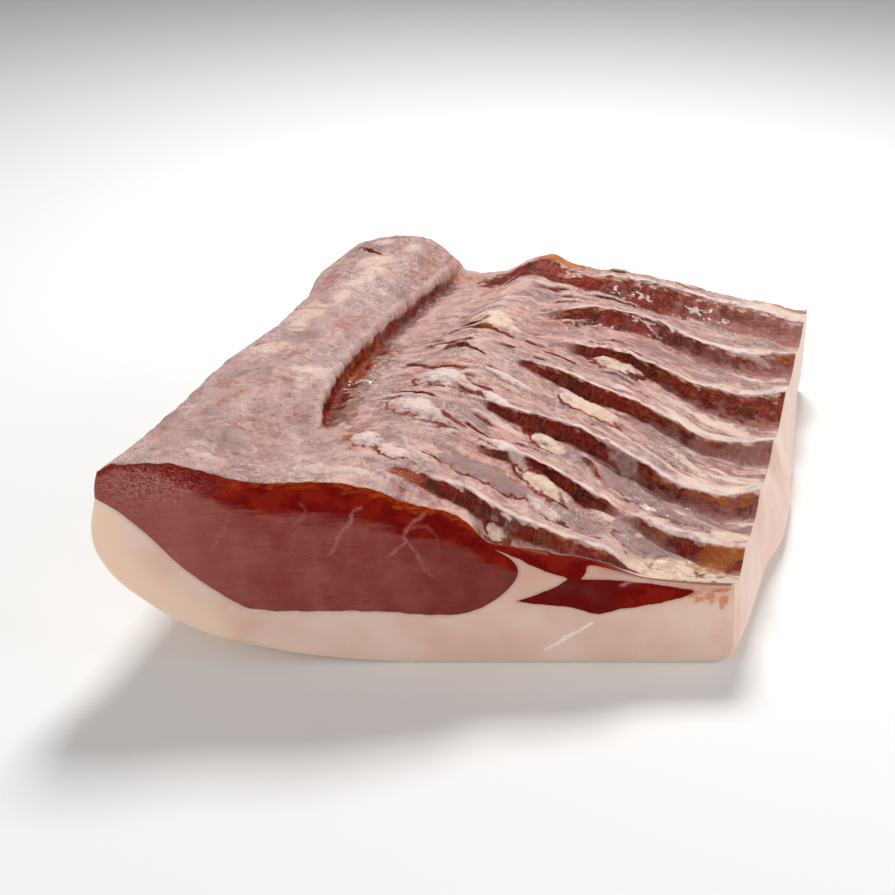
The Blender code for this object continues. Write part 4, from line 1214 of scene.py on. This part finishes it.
class Loin:
    """The tops of the pieces and the lines where the pieces meet, on every row, in metres."""

    def __init__(self):
        self.eye_top = Top(eye_columns())
        self.rib_top = Top(mix(RIB_RIGHT, SEAM_S, shares(RIB_COLUMNS)))
        self.strip_top = Top(mix(RIB_RIGHT, CORNER_RIGHT, shares(STRIP_COLUMNS)))
        self.rib = self.rib_top.points()
        self.strip = self.strip_top.points()
        self.strip[:, 0] = self.rib[:, 0]
        self.place_outside()
        self.place_eye()
        self.place_seam()
        self.place_right()

    def place_outside(self):
        """The fat's rounded left side, flat underside and right wall."""
        self.outline = outer_left()
        self.outer = lift(self.outline)
        self.wall = joined(lift(right_wall(self.strip_top.z[:, -1:])), self.strip[:, -1:])
        self.floor = mix(self.outer[:, -1:], self.wall[:, :1], shares(FLOOR_POINTS)[:, :, None])

    def place_eye(self):
        """The eye muscle's top with its left side, the corner between them rounded."""
        places = self.eye_top.points()
        places[:, 0] = self.rib[:, -1]
        self.side_share = shares(EYE_SIDE_COLUMNS)[:, 1:]
        side = mix(places[:, -1:], self.outer[:, :1], self.side_share[:, :, None])
        side[:, :, 0] -= SIDE_HOLLOW * MM * np.sin(np.pi * self.side_share)
        self.eye = joined(places, side)
        corner = places.shape[1] - 1
        for _ in range(CORNER_PASSES):
            near = self.eye[1:-1, corner - 5:corner + 6]
            self.eye[1:-1, corner - 4:corner + 5] = (near[:, :-2] + 2 * near[:, 1:-1] + near[:, 2:]) / 4
        self.eye[:, -1] = self.outer[:, 0]

    def place_seam(self):
        """Under the eye muscle, and the seam between it and the rib meat."""
        apex = rows_mix([APEX_CUT], [APEX_INNER], PAST_SEAM)
        under = smooth_rows(joined(self.outline[:, :1], eye_under(), apex), UNDER_POINTS)
        self.under = lift(uneven(under, 801))
        self.under[:, 0] = self.outer[:, 0]
        top = np.stack([SEAM_S, self.rib_top.z[:, -1:]], axis=-1)
        straight = mix(top, apex, np.array([0.25, 0.5, 0.75])[None, :, None])
        bend = mix(straight, np.array(SEAM_BEND)[None], PAST_SEAM[:, :, None])
        self.seam = lift(even_rows(joined(top, bend, apex), SEAM_POINTS))
        self.seam[:, 0] = self.rib[:, -1]
        self.apex = apex

    def place_right(self):
        """Under the rib meat on both sides of its neck, and round the small muscle."""
        neck = rows_mix([NECK_CUT], [NECK_INNER], PAST_CUT)
        half = np.array([NECK_HALF, 0.0])
        tip = rows_of([LENS_LEFT_TIP])
        left = even_rows(joined(self.apex, rows_of(RIB_UNDER_LEFT), neck - half), RIB_LEFT_POINTS)
        right = smooth_rows(joined(neck + half, rows_mix(RIB_UNDER_CUT, RIB_UNDER_INNER, PAST_CUT)),
                            RIB_RIGHT_POINTS)
        top_right = np.stack([RIB_RIGHT + 0 * T_RIGHT, self.rib_top.z[:, :1]], axis=-1)
        lens_top = rows_mix(LENS_TOP_CUT, LENS_TOP_INNER, PAST_CUT)
        round_right = smooth_rows(joined(neck + half, lens_top, rows_of(LENS_UNDER), tip), LENS_POINTS)
        round_left = smooth_rows(joined(tip, rows_of(LENS_LEFT_TOP), neck - half), LENS_LEFT_POINTS)
        self.rib_left = lift(uneven(left, 803))
        self.rib_right = lift(right)
        self.rib_end = lift(even_rows(joined(right[:, -1:], top_right), RIB_END_POINTS))
        self.rib_end[:, -1] = self.rib[:, 0]
        self.lens_right = lift(uneven(round_right, 805))
        self.lens_left = lift(uneven(round_left, 807))


def eye_skin(loin):
    """The eye muscle: its bloomed top and left side, hidden walls and both cuts."""
    skin = Skin("loin_eye")
    side = np.broadcast_to(loin.side_share, (ROWS, EYE_SIDE_COLUMNS - 1))
    fields = top_fields(loin.eye_top)
    beside = dict(tone=stacked(0, ease(side, 0.3, 1.0), 0), tint=stacked(0, 0 * side, 0),
                  grain=fields["grain"][:, -1:] + stacked(0, SIDE_GRAIN * side, 0),
                  form=stacked(0.5, 0.1, 0 * side), part=stacked(0.3, 0 * side, 1.0))
    skin.grid(loin.eye, 0, **{key: joined(fields[key], beside[key]) for key in fields})
    skin.wall(loin.under, HIDDEN_SPACING, 1)
    skin.wall(flipped(loin.seam), SEAM_SPACING, 1)
    skin.ends(joined(loin.eye, loin.under[:, 1:], flipped(loin.seam)[:, 1:-1]), LEAN_SPACINGS, 1, lean_cut)
    return skin


def rib_skin(loin):
    """The rib meat: its ridged top, hidden walls and both cuts."""
    skin = Skin("rib_cap")
    skin.grid(loin.rib, 0, **top_fields(loin.rib_top))
    border = joined(loin.seam, loin.rib_left[:, 1:], loin.rib_right, loin.rib_end[:, 1:])
    skin.wall(loin.seam, SEAM_SPACING, 1)
    skin.wall(border[:, loin.seam.shape[1] - 1:], HIDDEN_SPACING, 1)
    skin.ends(joined(loin.rib, border[:, 1:-1]), LEAN_SPACINGS, 1, rib_cut)
    return skin


def fat_skin(loin):
    """The back fat: its strip of top, right wall, underside, left side and both cuts."""
    skin = Skin("fat_cap")
    skin.grid(loin.strip, 0, **top_fields(loin.strip_top))
    skin.grid(loin.wall, 1, grain=loin.wall / MM)
    skin.wall(loin.floor, HIDDEN_SPACING, 1, grain=loin.floor / MM)
    peach = stacked(1 + 0 * loin.outer[:, :, 0], 0, 0)
    skin.wall(loin.outer, SIDE_SPACING, 1, tone=peach, grain=loin.outer / MM)
    inner = joined(flipped(loin.rib_end), flipped(loin.rib_right)[:, 1:], loin.lens_right[:, 1:],
                   loin.lens_left[:, 1:], flipped(loin.rib_left)[:, 1:], flipped(loin.under)[:, 1:])
    skin.wall(inner, HIDDEN_SPACING, 1)
    loops = joined(loin.strip, flipped(loin.wall)[:, 1:], flipped(loin.floor)[:, 1:],
                   flipped(loin.outer)[:, 1:], flipped(inner)[:, 1:-1])
    skin.ends(loops, FAT_SPACINGS, 1, fat_cut)
    return skin


def lens_skin(loin):
    """The small muscle in the fat, seen only at its two cuts."""
    skin = Skin("flank_lens")
    border = joined(loin.lens_right, loin.lens_left[:, 1:], loin.lens_right[:, :1])
    skin.wall(border, HIDDEN_SPACING, 0)
    skin.ends(border[:, :-1], LEAN_SPACINGS, 0, flank_cut)
    return skin


def gather():
    """The four pieces' surfaces, by the solid each one stands for."""
    loin = Loin()
    return dict(eye_muscle=eye_skin(loin), rib_meat=rib_skin(loin), back_fat=fat_skin(loin),
                flank_muscle=lens_skin(loin))


class Value:
    """A number, colour or vector inside a material, which plain arithmetic combines."""

    def __init__(self, paint, socket):
        self.paint, self.socket = paint, socket

    def __add__(self, other):
        return self.paint.math("ADD", self, other)

    def __sub__(self, other):
        return self.paint.math("SUBTRACT", self, other)

    def __rsub__(self, other):
        return self.paint.math("SUBTRACT", other, self)

    def __mul__(self, other):
        return self.paint.math("MULTIPLY", self, other)

    def __abs__(self):
        return self.paint.math("ABSOLUTE", self)

    __radd__ = __add__

    def held(self):
        """The value kept between 0 and 1."""
        return self.paint.math("ADD", self, 0.0, True)

    def larger(self, other):
        """The larger of two values."""
        return self.paint.math("MAXIMUM", self, other)

    def band(self, start, end):
        """0 below start and 1 above end, smooth between, or falling where end is the smaller."""
        node = self.paint.add("ShaderNodeMapRange", interpolation_type="SMOOTHSTEP")
        self.paint.set(node, Value=self, From_Min=start, From_Max=end)
        return self.paint.out(node)


class Paint:
    """Builds one material's nodes around its Principled shader."""

    def __init__(self, name):
        self.material = bpy.data.materials.new(name)
        self.material.use_nodes = True
        self.tree = self.material.node_tree
        self.shader = self.tree.nodes["Principled BSDF"]
        self.place = Value(self, self.add("ShaderNodeTexCoord").outputs["Object"])

    def add(self, kind, **settings):
        """A new node with its settings."""
        node = self.tree.nodes.new(kind)
        for key, value in settings.items():
            setattr(node, key, value)
        return node

    def out(self, node, number=0):
        """What a node gives, from its first output or another."""
        return Value(self, node.outputs[number])

    def put(self, value, socket):
        """Links a value to a socket, or sets the socket to a plain number or colour."""
        if isinstance(value, Value):
            self.tree.links.new(value.socket, socket)
        else:
            socket.default_value = (*value, 1.0) if socket.type == "RGBA" else value

    def set(self, node, **values):
        """Puts values into a node's sockets, named with _ for a space."""
        for key, value in values.items():
            self.put(value, node.inputs[key.replace("_", " ")])

    def vector(self, name):
        """A mesh attribute as a vector."""
        return Value(self, self.add("ShaderNodeAttribute", attribute_name=name).outputs["Vector"])

    def parts(self, name):
        """A mesh attribute's three parts."""
        node = self.add("ShaderNodeSeparateXYZ")
        self.put(self.vector(name), node.inputs[0])
        return [Value(self, output) for output in node.outputs]

    def scaled(self, vector, factors, turn=0.0):
        """The vector turned about the vertical, in degrees, and then scaled."""
        for key, setting in (("Rotation", (0.0, 0.0, np.radians(turn))), ("Scale", factors)):
            node = self.add("ShaderNodeMapping")
            self.set(node, Vector=vector, **{key: setting})
            vector = self.out(node)
        return vector

    def noise(self, vector, scale, detail=4.0, roughness=0.6, distortion=0.0):
        node = self.add("ShaderNodeTexNoise")
        self.set(node, Vector=vector, Scale=scale, Detail=detail, Roughness=roughness, Distortion=distortion)
        return self.out(node)

    def math(self, operation, a, b=0.0, clamp=False):
        node = self.add("ShaderNodeMath", operation=operation, use_clamp=clamp)
        self.put(a, node.inputs[0])
        self.put(b, node.inputs[1])
        return self.out(node)

    def blend(self, amount, a, b):
        """Colour a, or b where the amount is 1."""
        node = self.add("ShaderNodeMix", data_type="RGBA")
        for value, socket in ((amount, 0), (a, 6), (b, 7)):
            self.put(value, node.inputs[socket])
        return self.out(node, 2)

    def lay(self, colour, *layers):
        """The colour with others laid over it in turn. A layer is the value that places it, where
        that value starts to show it and shows it in full, its share and its colour."""
        for value, start, end, share, other in layers:
            colour = self.blend(value.band(start, end) * share, colour, other)
        return colour

    def finish(self, colour, roughness, height, depth, strength, **settings):
        """Joins everything to the shader, with the height as a bump of so many metres."""
        relief = self.add("ShaderNodeBump")
        self.set(relief, Height=height, Distance=depth, Strength=strength)
        self.set(self.shader, Base_Color=colour, Roughness=roughness, Normal=self.out(relief), **settings)
        return self.material


class TopPaint(Paint):
    """Dried meat with a pale bloom, dark moist flanks, cream fat and grey membrane, with painted shade and
    highlights.
    """

    def __init__(self):
        super().__init__("bloomed_top")
        self.dark, self.cream, self.lilac = self.parts("tone")
        self.orange, self.white, self.wet = self.parts("tint")
        self.hollow, self.raw, self.mauve = self.parts("form")
        self.streaky, self.stained, self.left = self.parts("part")
        self.plum = self.parts("grain")[2]
        self.smooth = self.streaky * (1.0 - self.plum * 0.72)
        self.laid = self.plum.larger(self.streaky * 0.6)
        self.make_patterns()

    def make_patterns(self):
        """Blotches, streaks along the fibres and fine threads."""
        fibres = self.vector("grain")
        lengthwise = self.scaled(self.place, (90.0, 520.0, 520.0), RIDGE_TURN)
        self.soft = self.noise(self.place, 42.0, 3.0, 0.55, 0.6)
        self.blotch = self.noise(self.place, 110.0, 4.0, 0.6, 1.0)
        self.mottle = self.noise(self.place, 300.0, 4.0, 0.62, 0.8)
        self.speckle = self.noise(self.place, 1300.0, 2.0, 0.6)
        self.streak = self.noise(self.scaled(fibres, (0.09, 0.45, 0.0)), 1.0, 4.0, 0.62, 1.2)
        self.swath = self.noise(self.scaled(fibres, (0.050, 0.20, 0.0), 8.0), 1.0, 3.0, 0.5, 1.6)
        self.upright = self.noise(self.scaled(fibres, (0.62, 0.26, 0.0), 20.0), 1.0, 4.0, 0.62, 1.8)
        self.fine_streak = self.noise(lengthwise, 1.0, 4.0, 0.62, 0.8)
        self.thread = abs(self.noise(self.place, 190.0, 3.0, 0.55, 1.6) - 0.5)
        self.web = abs(self.noise(self.scaled(self.place, (1.0, 1.0, 1.0), 40.0), 150.0, 3.0, 0.6, 2.0) - 0.5)
        self.hair = abs(self.noise(lengthwise, 0.6, 3.0, 0.6, 1.5) - 0.5)
        self.ragged = (self.mottle - 0.5) * 0.9
        self.wavy = (self.blotch - 0.5) * 0.9 + self.ragged * 0.35

    def bloom(self):
        """The pale bloom with its lilac, peach and olive swaths and pink streaks."""
        raw_place = self.raw * self.mottle.band(0.38, 0.56)
        pink_place = self.streak.band(0.52, 0.66).larger(raw_place)
        pink_share = (self.smooth * 0.35 + self.raw * 0.75).held()
        colour = self.blend(self.soft.band(0.40, 0.62), BLOOM_PINK, BLOOM_GREY)
        colour = self.lay(
            colour,
            (self.blotch, 0.53, 0.72, 0.7, BLOOM_PALE),
            (self.blotch, 0.48, 0.34, 0.6, LILAC),
            (self.streak, 0.47, 0.34, self.smooth * 0.35, BLOOM_PALE),
            (self.swath, 0.52, 0.59, self.laid * 0.95, LILAC),
            (self.swath, 0.57, 0.66, self.soft.band(0.46, 0.56) * self.laid * 0.7, BED_OLIVE),
            (self.swath, 0.48, 0.43, self.laid * 0.9, BED_PEACH),
            (self.swath, 0.43, 0.37, self.plum * 0.8, CREST_WHITE),
            (self.soft, 0.50, 0.62, self.streaky * 0.34, BED_OLIVE))
        colour = self.blend(pink_place * pink_share, colour, MEAT_PINK)
        return self.lay(
            colour,
            (self.fine_streak, 0.54, 0.74, self.smooth * 0.34, MEAT_MAUVE),
            (self.fine_streak, 0.44, 0.30, self.smooth * 0.22, BLOOM_PALE),
            (self.mottle, 0.57, 0.72, 0.3, MEAT_PINK),
            (self.mottle, 0.43, 0.30, 0.35, BLOOM_PALE))

    def marks(self, colour):
        """Painted shade in hollows and highlight on raised places, grey membrane, hairs, threads, painted
        shade on the left muscle, stains and pale webs over the bloom.
        """
        # Painted shade and highlight: hollow places are laid darker and browner, raised places paler.
        cavity_shading = self.hollow + self.ragged * 0.5
        stains = self.blend(self.mottle.band(0.45, 0.58), DARK_BROWN, STAIN_BROWN)
        hair_share = self.mottle.band(0.48, 0.60) * self.streaky * 0.5
        thread_share = self.mottle.band(0.50, 0.60) * (0.5 - self.plum * 0.35)
        colour = self.lay(
            colour,
            (cavity_shading, 0.46, 0.28, 0.4, BLOOM_PALE),
            (cavity_shading, 0.55, 0.78, 0.6 - self.plum * 0.3, MEAT_PINK),
            (cavity_shading, 0.68, 0.95, 0.75, DARK_BROWN),
            (self.lilac + self.ragged * 0.5, 0.2, 0.9, 0.8, LILAC),
            (self.hair, 0.03, 0.0, hair_share, RED_BROWN),
            (self.thread, 0.014, 0.0, thread_share, MEAT_MAUVE))
        # Painted shade: the left muscle is darkened as a whole.
        colour = self.blend(self.left * 0.30, colour, LEFT_MUSCLE_SHADE)
        return self.lay(
            colour,
            (self.stained + self.ragged, 0.2, 0.7, 0.7, stains),
            (self.web, 0.035, 0.0, self.soft.band(0.42, 0.56) * 0.6, BLOOM_PALE))

    def fat(self, colour):
        """Cream pads of fat, torn on the right and fading on the left muscle."""
        fatty = self.blend(self.mottle.band(0.44, 0.66), CREAM, PEACH)
        fatty = self.blend(self.blotch.band(0.52, 0.40), CREAM, fatty)
        torn = (self.cream + self.ragged * 0.7).band(0.22, 0.85)
        faded = (self.cream + self.wavy * 1.1).band(0.0, 1.05) * 0.85
        laid_fat = torn * (1.0 - self.left) + faded * self.left
        return self.blend(laid_fat * 0.92, colour, fatty)

    def flanks(self, colour, dark_edge):
        """The ridges' mauve and brown flanks, the brown partly painted shade, their rust and their pale
        crests, partly painted highlight.
        """
        mauve = self.lay(
            self.blend(self.blotch.band(0.42, 0.60), FLANK_MAUVE, MEAT_PINK),
            (self.upright, 0.48, 0.34, 0.5, BLOOM_GREY),
            (self.upright, 0.52, 0.66, 0.7, RED_BROWN))
        brown = self.blend(self.blotch.band(0.42, 0.60), DEEP_RED, DARK_BROWN)
        brown = self.lay(
            self.blend(self.plum * 0.45, brown, PLUM),
            (self.upright, 0.46, 0.68, 0.62, RED_BROWN),
            (self.speckle, 0.56, 0.70, 0.2, ORANGE_BROWN))
        rusty = self.blend(self.blotch.band(0.42, 0.62), ORANGE_BROWN, ORANGE)
        rusty = self.lay(
            self.blend(dark_edge * 0.6, rusty, ORANGE_BROWN),
            (self.upright, 0.48, 0.68, 0.5, RED_BROWN),
            (self.mottle, 0.50, 0.66, 0.3, RED_BROWN))
        colour = self.lay(colour, (self.mauve + self.wavy, 0.20, 0.80, 0.9, mauve))
        # Brown where the dark mask is: the flanks' own dark meat, with painted shade and shadows.
        colour = self.blend(dark_edge, colour, brown)
        # Pale crests and flap lips, partly painted highlight, and painted glints on wet patches.
        return self.lay(
            colour,
            (self.orange + self.wavy, 0.14, 0.80, 0.88, rusty),
            (self.white + self.ragged * 0.9, 0.25, 0.95, 0.85, CREST_WHITE))

    def build(self):
        # The dark mask carries painted shade in creases, crevices and pits, and painted shadows under flaps
        # and pads.
        dark_edge = (self.dark + self.wavy).band(0.18, 0.72)
        colour = self.flanks(self.fat(self.marks(self.bloom())), dark_edge)
        gloss = self.blotch.band(0.44, 0.60) * (0.04 + self.plum * 0.10)
        moist = (dark_edge * 0.55).larger(self.wet)
        roughness = (0.38 + self.speckle * 0.2 - gloss - moist * 0.30).held()
        glaze = (self.wet + self.swath.band(0.46, 0.60) * (self.plum * 0.35)).held()
        threads = self.thread.band(0.014, 0.0) * self.mottle.band(0.50, 0.60)
        height = self.fine_streak * self.streaky * 0.7 + self.mottle * 0.7
        height = height + self.speckle * 0.3 - threads * 0.15
        return self.finish(colour, roughness, height, 0.0010, 1.0, Coat_Weight=glaze, Coat_Roughness=0.10,
                           Subsurface_Weight=0.12, Subsurface_Radius=(1.0, 0.35, 0.22),
                           Subsurface_Scale=0.0012, Specular_IOR_Level=0.18)


def dried_rim(p, colour, rim, rust, fibre, cloud, mottle, fine):
    """The dark red dried rim of a cut and its rust."""
    edge = (rim + (fibre - 0.5) * 0.7).band(0.06, 0.58)
    red = p.blend(mottle.band(0.42, 0.66), RIM_RED, RIM_DARK)
    red = p.lay(red, (cloud, 0.46, 0.62, 0.7, RIM_BRIGHT))
    patchy = rust + (mottle - 0.5) * 0.7 + (fine - 0.5) * 0.8
    rusty = p.blend(fine.band(0.50, 0.66), RIM_RUST, RIM_GOLD)
    rusty = p.blend(fibre.band(0.50, 0.62), rusty, RIM_RED)
    return p.blend(edge, colour, red), patchy.band(0.32, 0.88) * 0.9, rusty


def cut_lean(name, base, deep, pale, dullness):
    """The cut face of cured lean: a dark dried rim, pale veins and faint fibres."""
    p = Paint(name)
    place = p.vector("grain")
    rim, vein, line = p.parts("tone")
    rust, knife, deeper = p.parts("tint")
    fibre = p.noise(p.scaled(place, (0.10, 0.75, 1.0)), 1.0, 5.0, 0.62, 0.9)
    cloud = p.noise(place, 0.12, 3.0, 0.5, 0.0)
    mottle = p.noise(place, 0.7, 4.0, 0.65, 0.3)
    fine = p.noise(place, 3.0, 3.0, 0.6)
    hatch = p.noise(p.scaled(place, (0.9, 1.7, 1.0), 24.0), 1.0, 4.0, 0.7, 1.2)
    colour = p.lay(
        base,
        (cloud, 0.36, 0.66, 0.45, pale),
        (fine, 0.40, 0.62, 0.22, pale),
        (fibre, 0.46, 0.36, 0.2, pale))
    colour = p.blend(deeper * 0.6, colour, deep)
    colour = p.blend(p.parts("form")[0] * 0.55, colour, pale)
    colour = p.lay(
        colour,
        (fibre, 0.48, 0.64, 0.12 + rim.band(0.0, 0.5) * 0.5, deep),
        (mottle, 0.62, 0.78, 0.2, VEIN_PINK))
    colour, rust_share, rusty = dried_rim(p, colour, rim, rust, fibre, cloud, mottle, fine)
    # The vein channel: veins on the eye, membrane and paler meat on the rib meat, and a painted shine on the
    # small muscle's lens.
    colour = p.blend(vein * 0.75, colour, VEIN_PINK)
    colour = p.blend(rust_share, colour, rusty)
    colour = p.lay(
        colour,
        (hatch, 0.45, 0.53, knife * 0.6, pale),
        (hatch, 0.53, 0.60, knife * 0.8, KNIFE_PINK),
        (hatch, 0.47, 0.40, knife * 0.8, RIM_RED))
    dotted = p.blend(fine.band(0.44, 0.58), RIM_DARK, VEIN_PINK)
    colour = p.blend(line * 0.85, colour, dotted)
    height = fibre * 0.5 + fine * 0.25 + hatch * knife * 1.6
    return p.finish(colour, dullness + fine * 0.18, height, 0.0003, 0.7, Subsurface_Weight=0.15,
                    Subsurface_Radius=(1.0, 0.25, 0.18), Subsurface_Scale=0.0015, Specular_IOR_Level=0.03)


def cured_fat():
    """Smooth, waxy back fat, peach at its outside, pink near the lean."""
    p = Paint("cured_fat")
    place = p.vector("grain")
    outer, pink, rust = p.parts("tone")
    streak, glint, _ = p.parts("tint")
    cloud = p.noise(place, 0.05, 3.0, 0.5, 0.3)
    fine = p.noise(place, 0.9, 4.0, 0.6)
    fibre = p.noise(p.scaled(place, (0.05, 0.7, 0.7)), 1.0, 4.0, 0.6, 0.4)
    colour = p.blend(cloud.band(0.35, 0.68), FAT_PINK, FAT_WHITE)
    colour = p.blend(outer * 0.9, colour, FAT_CREAM)
    colour = p.lay(colour, (fibre, 0.52, 0.68, 0.22, FAT_WHITE))
    colour = p.blend(pink * 0.75, colour, FAT_FLUSH)
    colour = p.blend(streak * 0.7, colour, FAT_WHITE)
    rust_tone = p.blend(fibre.band(0.44, 0.56), RUST, RUST_DARK)
    # The last layer is painted highlight: the glint, on a raised, glossier streak.
    colour = p.lay(
        colour,
        (rust + (fine - 0.5), 0.1, 1.0, 0.85, rust_tone),
        (glint + (fine - 0.5), 0.35, 0.75, 0.75, FAT_GLINT))
    roughness = (0.36 + fine * 0.14 - glint * 0.28).held()
    height = fine * 0.4 + fibre * 0.5
    return p.finish(colour, roughness, height, 0.00025, 0.5, Subsurface_Weight=0.5,
                    Subsurface_Radius=(1.0, 0.55, 0.35), Subsurface_Scale=0.004)


def plain_floor():
    """A wide pale floor."""
    mesh = bpy.data.meshes.new("floor")
    corners = [(FLOOR_HALF * x, FLOOR_HALF * y, 0) for x, y in ((-1, -1), (1, -1), (1, 1), (-1, 1))]
    mesh.from_pydata(corners, [], [(0, 1, 2, 3)])
    paint = Paint("floor_paint")
    paint.set(paint.shader, Base_Color=FLOOR_WHITE, Roughness=0.9)
    mesh.materials.append(paint.material)
    floor = link("floor", mesh)


def soft_light(name, place, aim, size, power):
    """A square area light at a place, turned to face an aim point."""
    light = bpy.data.lights.new(name, "AREA")
    light.shape = "SQUARE"
    light.size = size
    light.energy = power
    lamp = link(name, light)
    lamp.location = place
    lamp.rotation_euler = (Vector(aim) - Vector(place)).to_track_quat("-Z", "Y").to_euler()


def studio():
    """Camera at the photographed angle, soft lights and a pale surround."""
    scene = bpy.context.scene
    camera = bpy.data.cameras.new("camera")
    camera.lens = CAMERA_LENS
    camera.sensor_width = SENSOR
    scene.camera = link("camera", camera)
    scene.camera.location = CAMERA_PLACE
    scene.camera.rotation_euler = (np.radians(CAMERA_TILT), 0.0, 0.0)
    scene.world = bpy.data.worlds.new("surround")
    scene.world.use_nodes = True
    background = scene.world.node_tree.nodes["Background"]
    background.inputs["Color"].default_value = (1.0, 1.0, 1.0, 1.0)
    background.inputs["Strength"].default_value = SURROUND_STRENGTH
    scene.view_settings.view_transform = "Standard"
    for light in LIGHTS:
        soft_light(*light)


def build():
    """Shapes and dresses the four pieces, each standing for its own solid."""
    top = TopPaint().build()
    fat = cured_fat()
    lean = cut_lean("cut_lean", LEAN_MID, LEAN_DEEP, LEAN_PALE, LEAN_DULLNESS)
    dark_lean = cut_lean("dark_lean", MOIST_MID, MOIST_DEEP, MOIST_PALE, MOIST_DULLNESS)
    looks = dict(eye_muscle=(top, lean), rib_meat=(top, dark_lean), back_fat=(top, fat),
                 flank_muscle=(dark_lean,))
    for node, skin in gather().items():
        piece = skin.build(looks[node])
        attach(piece, "root")
        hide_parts(node)


build()
plain_floor()
studio()
